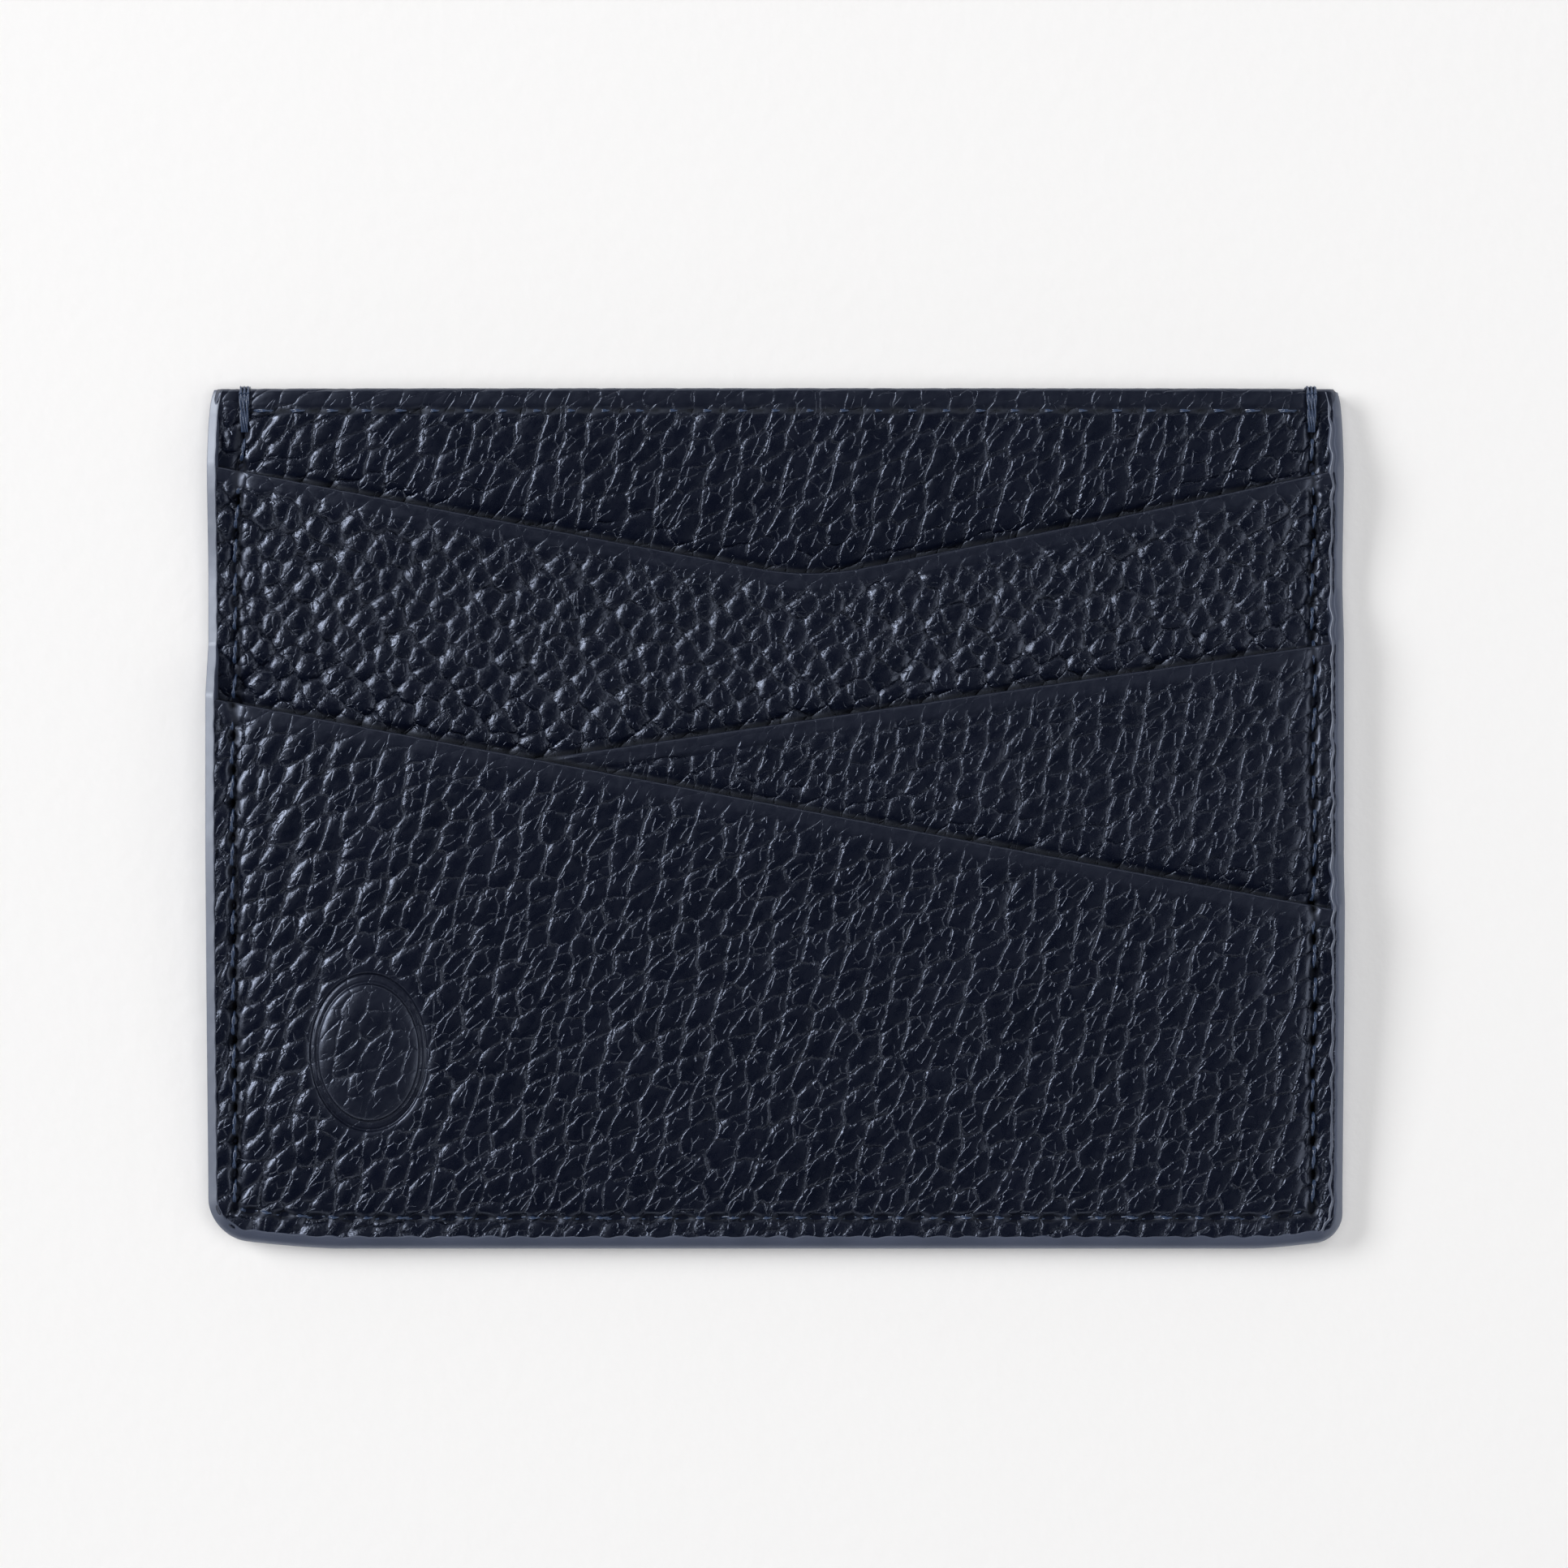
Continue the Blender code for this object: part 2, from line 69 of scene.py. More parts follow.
camera_data = bpy.data.cameras.new("above")
camera_data.lens = LENS
camera_data.sensor_width = SENSOR
camera_data.clip_start = 0.01
camera = bpy.data.objects.new("above", camera_data)
camera.location = VIEW_CENTRE + Vector((0.0, 0.0, VIEW_WIDTH * LENS / SENSOR))
bpy.context.scene.collection.objects.link(camera)
bpy.context.scene.camera = camera
bpy.context.scene.view_settings.view_transform = "Standard"


def softbox(name, azimuth, elevation, distance, width, height, power, glossy=True):
    """A rectangular lamp that faces the holder. Azimuth 0 is to the right, and 90 beyond the top edge."""
    lamp_data = bpy.data.lights.new(name, "AREA")
    lamp_data.shape = "RECTANGLE"
    lamp_data.size = width
    lamp_data.size_y = height
    lamp_data.energy = power
    lamp = bpy.data.objects.new(name, lamp_data)
    turn, rise = math.radians(azimuth), math.radians(elevation)
    lamp.location = distance * Vector((math.cos(turn) * math.cos(rise), math.sin(turn) * math.cos(rise),
                                       math.sin(rise)))
    lamp.rotation_mode = "QUATERNION"
    lamp.rotation_quaternion = lamp.location.to_track_quat("Z", "Y")
    lamp.visible_glossy = glossy
    bpy.context.scene.collection.objects.link(lamp)


softbox("key_softbox", azimuth=158, elevation=31, distance=1.6, width=1.0, height=0.6, power=18.0)
softbox("overhead_fill", azimuth=20, elevation=82, distance=1.6, width=1.8, height=1.8, power=18.4,
        glossy=False)
softbox("right_card", azimuth=-8, elevation=36, distance=1.2, width=0.9, height=0.5, power=1.9)

room = bpy.data.worlds.new("studio")
room.use_nodes = True
bpy.context.scene.world = room
sky = room.node_tree
background = sky.nodes["Background"]
direction = sky.nodes.new("ShaderNodeTexCoord")
split = sky.nodes.new("ShaderNodeSeparateXYZ")
rise = sky.nodes.new("ShaderNodeMapRange")
rise.interpolation_type = "SMOOTHSTEP"
rise.inputs["From Min"].default_value = 0.05
rise.inputs["From Max"].default_value = 0.5
rise.inputs["To Min"].default_value = 0.8
rise.inputs["To Max"].default_value = 0.012
sky.links.new(direction.outputs["Generated"], split.inputs["Vector"])
sky.links.new(split.outputs["Z"], rise.inputs["Value"])
card = sky.nodes.new("ShaderNodeMapRange")
card.interpolation_type = "SMOOTHSTEP"
card.inputs["From Min"].default_value = -0.05
card.inputs["From Max"].default_value = 0.28
card.inputs["To Min"].default_value = 0.0
card.inputs["To Max"].default_value = 0.045
both = sky.nodes.new("ShaderNodeMath")
sky.links.new(split.outputs["X"], card.inputs["Value"])
sky.links.new(rise.outputs["Result"], both.inputs[0])
sky.links.new(card.outputs["Result"], both.inputs[1])
sky.links.new(both.outputs["Value"], background.inputs["Strength"])
background.inputs["Color"].default_value = (0.97, 0.98, 1.0, 1.0)

# The table: one sheet of matt white paper, far wider than the holder that lies on it. It is there
# only to lie on, and isn't one of the holder's pieces.


def link(tree, source, socket):
    """Joins a node's output to a socket, or sets the socket to a plain number or colour."""
    if isinstance(source, bpy.types.NodeSocket):
        tree.links.new(source, socket)
    else:
        socket.default_value = source


def noise(tree, place, scale, detail=2.0, roughness=0.5, output="Fac"):
    """Cloudy variation over a plane."""
    made = tree.nodes.new("ShaderNodeTexNoise")
    made.noise_dimensions = "2D"
    for name, value in (("Vector", place), ("Scale", scale), ("Detail", detail),
                        ("Roughness", roughness)):
        link(tree, value, made.inputs[name])
    return made.outputs[output]


def principled(name, colour, roughness):
    """A new material and its Principled shader."""
    material = bpy.data.materials.new(name)
    material.use_nodes = True
    shader = material.node_tree.nodes["Principled BSDF"]
    shader.inputs["Base Color"].default_value = (*colour, 1.0)
    shader.inputs["Roughness"].default_value = roughness
    return material, shader


def raise_surface(tree, shader, height, depth):
    """Gives a shader a height in millimetres as bump."""
    bump = tree.nodes.new("ShaderNodeBump")
    bump.inputs["Distance"].default_value = MM
    bump.inputs["Strength"].default_value = depth
    tree.links.new(height, bump.inputs["Height"])
    tree.links.new(bump.outputs["Normal"], shader.inputs["Normal"])


paper, paper_shader = principled("table_paper", (0.93, 0.922, 0.92), 0.85)
tree = paper.node_tree
paper_place = tree.nodes.new("ShaderNodeTexCoord").outputs["Object"]
fibres = noise(tree, paper_place, 700.0, detail=3.0)
raise_surface(tree, paper_shader, fibres, 0.06)
bm = bmesh.new()
bmesh.ops.create_grid(bm, x_segments=1, y_segments=1, size=1.5)
table_mesh = bpy.data.meshes.new("table_top")
bm.to_mesh(table_mesh)
bm.free()
table_mesh.materials.append(paper)
table = bpy.data.objects.new("table_top", table_mesh)
bpy.context.scene.collection.objects.link(table)

# The hide: thin calf leather, dyed navy and pressed with a pebble grain whose cells run up to the
# right. The five panels are cut from it, so the grain is one pattern that every panel shares, and
# each sheet keeps its own place on the hide in an attribute that the grain is read from.
GRAIN_SLANT = math.radians(50)
CELL = 1.75
CELL_STRETCH = 1.75
CREASE_DEPTH = 0.15
CRUSHED_WRINKLE = 0.3
PUFFED_FULLNESS = 0.9
PANEL_CREASE = 0.032


def node(tree, kind, inputs=(), **settings):
    """Adds a node, makes its settings, joins or sets its inputs, and gives back its first output."""
    made = tree.nodes.new(kind)
    for name, value in settings.items():
        setattr(made, name, value)
    for name, value in dict(inputs).items():
        link(tree, value, made.inputs[name])
    return next(o for o in made.outputs if o.enabled)


def compute(tree, operation, *values):
    """A Math node."""
    made = tree.nodes.new("ShaderNodeMath")
    made.operation = operation
    for value, socket in zip(values, made.inputs):
        link(tree, value, socket)
    return made.outputs[0]


def remap(tree, value, low, high, to_low, to_high):
    """Eases a value from low to high into the range to_low to to_high."""
    return node(tree, "ShaderNodeMapRange", {"Value": value, "From Min": low, "From Max": high,
                                             "To Min": to_low, "To Max": to_high},
                interpolation_type="SMOOTHSTEP")


def add_grain(kind, name):
    """The grain's relief in millimetres as a node group, for shading or for shaping a mesh."""
    group = bpy.data.node_groups.new(name, kind)
    for socket, socket_type in (("Hide", "NodeSocketVector"), ("Press", "NodeSocketFloat"),
                                ("Crease", "NodeSocketFloat"), ("Wrinkle", "NodeSocketFloat"),
                                ("Fullness", "NodeSocketFloat")):
        group.interface.new_socket(socket, in_out="INPUT", socket_type=socket_type)
    group.interface.new_socket("Relief", in_out="OUTPUT", socket_type="NodeSocketFloat")
    given = group.nodes.new("NodeGroupInput").outputs
    result = group.nodes.new("NodeGroupOutput").inputs

    def shifted(place, scale, amount, detail):
        """The place pushed about by cloudy noise, so that no crease runs straight."""
        push = noise(group, place, scale, detail, output="Color")
        centred = node(group, "ShaderNodeVectorMath", operation="SUBTRACT",
                       inputs={0: push, 1: (0.5, 0.5, 0.5)})
        scaled = node(group, "ShaderNodeVectorMath", operation="MULTIPLY",
                      inputs={0: centred, 1: (amount, amount, 0.0)})
        return node(group, "ShaderNodeVectorMath", operation="ADD", inputs={0: place, 1: scaled})

    def creases(place, scale, randomness):
        """How far the place is from the nearest crease, in cells of that scale."""
        return node(group, "ShaderNodeTexVoronoi", voronoi_dimensions="2D", feature="DISTANCE_TO_EDGE",
                    inputs={"Vector": place, "Scale": scale, "Randomness": randomness})

    def pebbles(place, scale, randomness):
        """1 in the middle of each pebble, rounding down to its creases."""
        middle = node(group, "ShaderNodeTexVoronoi", voronoi_dimensions="2D", feature="SMOOTH_F1",
                      inputs={"Vector": place, "Scale": scale, "Randomness": randomness,
                              "Smoothness": 0.12})
        squared = compute(group, "MULTIPLY", middle, middle)
        steeper = compute(group, "MULTIPLY_ADD", squared, 4.0, 1.0)
        return compute(group, "SUBTRACT", 1.0, compute(group, "MULTIPLY", squared, steeper))

    def valley(distance, width):
        """1 in the crease and falling away to 0 on the pebble."""
        ratio = compute(group, "DIVIDE", distance, width)
        return compute(group, "EXPONENT", compute(group, "MULTIPLY", ratio, -1.0))

    bent = shifted(shifted(given["Hide"], 0.5, 0.5, 1.0), 2.2, 0.2, 3.0)
    main = creases(bent, 1.0, 0.55)
    main_valley = valley(main, given["Crease"])
    fade = remap(group, noise(group, given["Hide"], 1.6, 3.0, 0.6), 0.38, 0.6, 0.2, 1.1)
    full = compute(group, "MULTIPLY", pebbles(bent, 1.0, 0.55), given["Fullness"])

    minor = creases(bent, 2.0, 0.95)
    minor_mask = remap(group, noise(group, given["Hide"], 1.7, 1.0), 0.46, 0.64, 0.0, 0.42)
    minor_valley = compute(group, "MULTIPLY", valley(minor, given["Crease"]), minor_mask)

    hair = noise(group, bent, 8.0, 3.0, 0.6)
    off_middle = compute(group, "ABSOLUTE", compute(group, "SUBTRACT", hair, 0.5))
    ridge = compute(group, "MINIMUM", off_middle, 0.1)
    near_crease = compute(group, "ADD", valley(main, 0.16), 0.22)
    wrinkle = compute(group, "MULTIPLY", compute(group, "MULTIPLY", ridge, near_crease), given["Wrinkle"])

    sunk = compute(group, "ADD", compute(group, "MULTIPLY", main_valley, fade), minor_valley)
    raised = compute(group, "ADD", compute(group, "SUBTRACT", full, sunk), wrinkle)
    kept = compute(group, "SUBTRACT", 1.0, given["Press"])
    relief = compute(group, "MULTIPLY", compute(group, "MULTIPLY", raised, CREASE_DEPTH), kept)
    group.links.new(relief, result["Relief"])
    return group


grain_shading = add_grain("ShaderNodeTree", "grain_shading")
grain_shaping = add_grain("GeometryNodeTree", "grain_shaping")


def two_tone(tree, value, low, dark, high, light):
    """A colour that runs from dark to light as the value goes from low to high."""
    made = tree.nodes.new("ShaderNodeValToRGB")
    for element, position, colour in zip(made.color_ramp.elements, (low, high), (dark, light)):
        element.position = position
        element.color = (*colour, 1.0)
    tree.links.new(value, made.inputs["Fac"])
    return made.outputs["Color"]


def leather_finish(name, wrinkle, fullness, depth=1.0):
    """Dyed and lightly glazed leather, with its grain read from the sheet's place on the hide."""
    material, shader = principled(name, (0.003, 0.0045, 0.0105), 0.34)
    shader.inputs["Specular IOR Level"].default_value = 1.0
    shader.inputs["Specular Tint"].default_value = (0.68, 0.77, 1.0, 1.0)
    shader.inputs["IOR"].default_value = 1.6
    tree = material.node_tree
    hide = node(tree, "ShaderNodeAttribute", attribute_name="hide").node.outputs["Vector"]
    press, painted_shade, crush, puff = (
        node(tree, "ShaderNodeAttribute", attribute_name=mark).node.outputs["Fac"]
        for mark in ("press", "painted_shade", "crush", "puff"))
    grain = tree.nodes.new("ShaderNodeGroup")
    grain.node_tree = grain_shading
    crushed = compute(tree, "MULTIPLY_ADD", crush, CRUSHED_WRINKLE, wrinkle)
    puffed = compute(tree, "MULTIPLY_ADD", puff, PUFFED_FULLNESS, fullness)
    for socket, value in (("Hide", hide), ("Press", press), ("Crease", PANEL_CREASE),
                          ("Wrinkle", crushed), ("Fullness", puffed)):
        link(tree, value, grain.inputs[socket])
    pores = compute(tree, "MULTIPLY", noise(tree, hide, 14.0, 3.0, 0.6), 0.0035)
    height = compute(tree, "ADD", grain.outputs["Relief"], pores)
    raise_surface(tree, shader, height, depth)

    cloud = noise(tree, hide, 0.35, 4.0, 0.6)
    dye = two_tone(tree, cloud, 0.3, (0.0012, 0.0024, 0.0084), 0.72, (0.0026, 0.0040, 0.0116))

    def mixed(share, first, second):
        """The first colour, going over to the second by that share."""
        mix = tree.nodes.new("ShaderNodeMix")
        mix.data_type = "RGBA"
        tree.links.new(share, mix.inputs["Factor"])
        tree.links.new(first, mix.inputs[6])
        mix.inputs[7].default_value = second
        return mix.outputs[2]

    # Pressed bands are painted lighter and bluer: a painted sheen for the light that the smooth ironed
    # leather catches.
    painted_sheen_share = compute(tree, "MULTIPLY", press, 0.65)
    ironed = mixed(painted_sheen_share, dye, (0.0085, 0.0105, 0.0205, 1.0))
    # Needle holes, seam grooves and the gaps beside covering mouths are painted near black: painted shade
    # where the real recesses lie in shadow.
    tree.links.new(mixed(painted_shade, ironed, (0.0003, 0.0003, 0.0004, 1.0)), shader.inputs["Base Color"])
    gloss = remap(tree, noise(tree, hide, 2.2, 4.0, 0.6), 0.3, 0.7, 0.23, 0.33)
    dull = compute(tree, "MULTIPLY_ADD", painted_shade, 0.6, compute(tree, "MULTIPLY_ADD", press, 0.1, gloss))
    tree.links.new(dull, shader.inputs["Roughness"])
    return material


# Back panel: one whole piece of leather behind everything, plain, its top edge turned in by 6 mm
# over a strip of tape. The edge seam's back thread lies in a shallow groove pressed round it. The
# outline, the seam and the way to lay a sheet of leather are the same for the panels after it.
HALF_WIDTH = cad_high.x / MM
PAINT = 0.3
BOTTOM = cad_low.y / MM
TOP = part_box("front_base_panel")[1].y / MM + 0.1
LEFT_CORNER = 3.4
RIGHT_CORNER = 2.3
SEAM_INSET = 2.7


def along(points, place, ease):
    """Straight runs between points, eased over that distance where they meet."""
    first, second = zip(*sorted(points))
    steps = np.linspace(-ease, ease, 9)
    return sum(np.interp(place + step, first, second) for step in steps) / len(steps)


def eased_foot(x):
    """How far the bottom edge has risen where it eases into its corners."""
    left = 0.75 * (np.clip(-x - 38.5, 0, None) / 9.0) ** 1.5
    right = 0.6 * (np.clip(x - 42.0, 0, None) / 6.5) ** 1.5
    return left + right


def inset(x, y):
    """How far inside the outer edge a place lies."""
    y = y - eased_foot(x)
    corner = np.where(x < 0, LEFT_CORNER, RIGHT_CORNER)
    past_x, past_y = np.abs(x) - (HALF_WIDTH - corner), BOTTOM + corner - y
    outside = np.hypot(np.maximum(past_x, 0), np.maximum(past_y, 0))
    return corner - outside - np.minimum(np.maximum(past_x, past_y), 0)


def foot(x):
    """The outer edge along the bottom, with its round corners."""
    corner = np.where(x < 0, LEFT_CORNER, RIGHT_CORNER)
    past = np.clip(np.abs(x) - (HALF_WIDTH - corner), 0, corner)
    return BOTTOM + corner - np.sqrt(corner ** 2 - past ** 2) + eased_foot(x)


STITCH = 3.0
SEAM_SIDE = HALF_WIDTH - SEAM_INSET
SEAM_FOOT = BOTTOM + SEAM_INSET
SEAM_HEAD = 33.9


def seam_holes():
    """The needle holes of the edge seam, down the left, along the bottom and up the right."""
    down = np.linspace(SEAM_HEAD, SEAM_FOOT + 0.9, round((SEAM_HEAD - SEAM_FOOT) / STITCH) + 1)
    across = np.linspace(-SEAM_SIDE + 1.0, SEAM_SIDE - 2.6, round(2 * SEAM_SIDE / STITCH))
    left = [(-SEAM_SIDE - 0.3 + 0.85 * max(0.0, (y - 24.0) / 10.0), y) for y in down]
    bottom = [(x, SEAM_FOOT + 0.05 + float(eased_foot(x))) for x in across]
    right = [(SEAM_SIDE + 0.1 * math.sin(1.3 * i), y) for i, y in enumerate(down[::-1])]
    return np.array([*left, *bottom, *right])


HOLES = seam_holes()


def seam_pits(x, y):
    """1 in each needle hole of the edge seam. The thread has pulled the holes long."""
    pits = np.zeros_like(x)
    near = inset(x, y) < 2 * SEAM_INSET
    for hole_x, hole_y in HOLES:
        beside = near & (np.abs(x - hole_x) + np.abs(y - hole_y) < STITCH)
        long_x, long_y = (0.3, 0.52) if hole_y > SEAM_FOOT + 0.7 else (0.52, 0.27)
        reach = ((x[beside] - hole_x) / long_x) ** 2 + ((y[beside] - hole_y) / long_y) ** 2
        pits[beside] += np.exp(-reach)
    return np.clip(pits, 0, 1)


def drawn_down(x, y):
    """How far the edge seam draws the leather down: a groove, a pit at each hole, a fall to the edge."""
    depth = inset(x, y)
    inside = np.maximum(depth - SEAM_INSET, 0)
    pull = 0.3 * np.exp(-inside / 2.4) + 0.3 * np.exp(-inside / 9.0)
    groove = 0.18 * np.exp(-((depth - SEAM_INSET) / 0.42) ** 2)
    fall = 0.7 * np.clip(1 - depth / 0.95, 0, 1) ** 2
    pits = 0.4 * seam_pits(x, y)
    pucker = 0.5 - 0.5 * np.cos(2 * math.pi * (x + y) / STITCH)
    swell = 0.06 * pucker * np.exp(-(np.abs(depth - SEAM_INSET) / 1.1) ** 2)
    return pull + groove + fall + pits + swell


def column_places():
    """Where the columns of a sheet stand: close together along both seams, and wider between."""
    border = 5.5
    edge = HALF_WIDTH - PAINT
    side = np.linspace(0, border, 30)
    middle = np.linspace(-edge + border, edge - border, 192)[1:-1]
    return np.concatenate([-edge + side, middle, edge - border + side])


COLUMNS = column_places()


RAISED_CREASE = 0.11
RAISED_FULLNESS = 0.5


def make_sheet(name, laid, material, thickness=0.3, offset=-1.0, relief=0.6, flip=False):
    """Lays a blank of quads over places in millimetres, raises its grain and gives it a thickness.

    A sheet's pebbles are as long as its stretch says, and their rows lean by its lean in degrees.
    """
    rows, columns = laid["press"].shape
    bm = bmesh.new()
    bmesh.ops.create_grid(bm, x_segments=columns - 1, y_segments=rows - 1, size=1.0)
    if flip:
        bmesh.ops.reverse_faces(bm, faces=bm.faces)
    mesh = bpy.data.meshes.new(name)
    bm.to_mesh(mesh)
    bm.free()
    flat = np.zeros(len(mesh.vertices) * 3, np.float32)
    mesh.vertices.foreach_get("co", flat)
    flat = flat.reshape(-1, 3)
    column = np.rint((flat[:, 0] + 1) / 2 * (columns - 1)).astype(int)
    row = np.rint((flat[:, 1] + 1) / 2 * (rows - 1)).astype(int)
    mesh.vertices.foreach_set("co", (laid["places"][row, column] * MM).astype(np.float32).ravel())
    hide = mesh.attributes.new("hide", "FLOAT_VECTOR", "POINT")
    slant = np.array([[math.cos(GRAIN_SLANT), -math.sin(GRAIN_SLANT)],
                      [math.sin(GRAIN_SLANT), math.cos(GRAIN_SLANT)]])
    stretched = laid["hide"][row, column] @ slant / (CELL * laid.get("stretch", CELL_STRETCH), CELL)
    lean = math.radians(laid.get("lean", 45.0))
    turned = stretched @ np.array([[math.cos(lean), math.sin(lean)], [-math.sin(lean), math.cos(lean)]])
    packed = np.column_stack([turned, np.zeros(len(turned))])
    hide.data.foreach_set("vector", packed.astype(np.float32).ravel())
    for mark in ("press", "painted_shade", "crush", "puff"):
        amounts = laid.get(mark, np.zeros((rows, columns)))[row, column].astype(np.float32)
        mesh.attributes.new(mark, "FLOAT", "POINT").data.foreach_set("value", amounts)
    mesh.update()
    mesh.shade_smooth()
    mesh.materials.append(material)
    sheet = bpy.data.objects.new(name, mesh)
    bpy.context.scene.collection.objects.link(sheet)
    if relief:
        raise_grain(sheet, relief)
    solidify = sheet.modifiers.new("Thickness", "SOLIDIFY")
    solidify.thickness = thickness * MM
    solidify.offset = offset
    settle_modifiers(sheet)
    return sheet


def settle_modifiers(piece):
    """Makes the piece's modifiers part of its mesh."""
    bpy.context.view_layer.update()
    evaluated = piece.evaluated_get(bpy.context.evaluated_depsgraph_get())
    made = bpy.data.meshes.new_from_object(evaluated)
    made.name = piece.data.name
    piece.modifiers.clear()
    piece.data = made


def raise_grain(sheet, relief):
    """Moves the sheet's surface by the same grain that its material shades."""
    tree = bpy.data.node_groups.new("raise_" + sheet.name, "GeometryNodeTree")
    tree.interface.new_socket("Geometry", in_out="INPUT", socket_type="NodeSocketGeometry")
    tree.interface.new_socket("Geometry", in_out="OUTPUT", socket_type="NodeSocketGeometry")
    came_in = tree.nodes.new("NodeGroupInput")
    goes_out = tree.nodes.new("NodeGroupOutput")
    hide = node(tree, "GeometryNodeInputNamedAttribute", {"Name": "hide"}, data_type="FLOAT_VECTOR")
    press = node(tree, "GeometryNodeInputNamedAttribute", {"Name": "press"}, data_type="FLOAT")
    grain = tree.nodes.new("GeometryNodeGroup")
    grain.node_tree = grain_shaping
    for socket, value in (("Hide", hide), ("Press", press), ("Crease", RAISED_CREASE),
                          ("Wrinkle", 0.0), ("Fullness", RAISED_FULLNESS)):
        link(tree, value, grain.inputs[socket])
    height = compute(tree, "MULTIPLY", grain.outputs["Relief"], relief * MM)
    normal = tree.nodes.new("GeometryNodeInputNormal").outputs[0]
    offset = node(tree, "ShaderNodeVectorMath", {0: normal, "Scale": height}, operation="SCALE")
    move = tree.nodes.new("GeometryNodeSetPosition")
    tree.links.new(came_in.outputs["Geometry"], move.inputs["Geometry"])
    tree.links.new(offset, move.inputs["Offset"])
    tree.links.new(move.outputs["Geometry"], goes_out.inputs["Geometry"])
    sheet.modifiers.new("Grain", "NODES").node_group = tree


def join_body(piece, slot, *nodes):
    """Puts a finished piece on the holder in place of its CAD nodes."""
    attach(piece, "root")
    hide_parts(*nodes)


ROLL_STEPS = 9
TURN_IN_STEPS = 5


def lay_panel(face, mouth, low_line, seen_line, fine_rows, coarse_rows, roll, turn_in, hide_shift,
              band=(0.9, 2.0), lift=0.0, smooth_band=0.85, hide_scale=1.0, corner_tuck=0.0,
              deep_pits=0.45, cover=None):
    """A panel's outer side: up from its foot, round the turned edge of its mouth, and in behind it.

    Rows stand close above the seen line and wide below it. Where another panel covers this one, it
    is drawn down beside that panel's mouth, and a shadow is painted on it in the gap.
    """
    x = COLUMNS
    top, low = mouth(x) - roll, low_line(x)
    seen = np.clip(seen_line(x), low + 0.2, top - 0.5)
    coarse = low + (seen - low) * np.linspace(0, 1, coarse_rows)[:-1, None]
    fine = seen + (top - seen) * np.linspace(0, 1, fine_rows)[:, None]
    turns = np.linspace(0, math.pi, ROLL_STEPS)[1:, None]
    inward = np.linspace(0, turn_in, TURN_IN_STEPS)[1:, None]
    front_y = np.concatenate([coarse, fine])
    y = np.concatenate([front_y, top + roll * np.sin(turns), top - inward])
    flat_y = np.concatenate([front_y, top + roll * turns, top + roll * math.pi + inward])
    xs = np.broadcast_to(x, y.shape)
    level_y = np.minimum(y, top)
    drop = np.concatenate([np.zeros(front_y.shape), roll * (1 - np.cos(turns)) + 0 * x,
                           2 * roll + 0 * inward * x])
    pits = seam_pits(xs, level_y)
    open_share = 0.15 + 0.85 * np.clip((level_y - seen + 3.0) / 3.0, 0, 1) if cover else 1.0 + 0 * xs
    z = along(face, level_y, 1.5) - drawn_down(xs, level_y) * open_share - drop
    z = z - deep_pits * pits * (open_share > 0.9)
    from_edge = mouth(x) - level_y
    z = z + lift * np.exp(-from_edge / 4.0) * np.clip(1 - (xs / 46.0) ** 2, 0, 1)
    z = z - 0.08 * np.exp(-((from_edge - 1.7) / 0.24) ** 2)
    depth = inset(xs, level_y)
    press = smooth_band * (1 - np.clip((from_edge - band[0]) / (band[1] - band[0]), 0, 1))
    press = np.maximum(press, np.clip((0.85 - depth) / 0.3, 0, 1))
    # Painted shade: the needle holes and the line of the seam groove are marked to be painted near black.
    painted_shade = np.clip(1.5 * pits + 0.45 * np.exp(-((depth - SEAM_INSET) / 0.24) ** 2), 0, 1)
    if cover is not None:
        past = level_y - cover(xs)
        parted = np.clip((48.0 - np.abs(xs)) / 7.0, 0.3, 1)
        z = z - 0.3 * parted * np.exp(-(past / 0.7) ** 2)
        # Painted shadow: a dark strip on this panel in the gap just beside the covering panel's mouth.
        dark = np.exp(-(np.maximum(past - 0.12 * parted, 0) / (0.3 * parted)) ** 2)
        painted_shade = np.maximum(painted_shade, dark * (past > -1.0))
        press = np.maximum(press, 0.7 * (1 - parted) * np.exp(-(past / 0.8) ** 2))
    tucked = xs * (1 - corner_tuck / HALF_WIDTH * np.exp(-(TOP - y) / 1.3))
    return {"places": np.stack([tucked, y, z], axis=-1),
            "hide": (np.stack([xs, flat_y], axis=-1) + hide_shift) * hide_scale,
            "press": press,
            "painted_shade": painted_shade,
            "crush": np.exp(-(np.maximum(depth - 1.6, 0) / 1.6) ** 2),
            "puff": np.clip((-xs - 26) / 20, 0, 1)}


HEM_ROLL = 0.5
HEM_TURN_IN = 6.0
HEM_SEAM_Y = 35.8
HEM_SEAM_X = 46.5
BACK_REST = 0.06


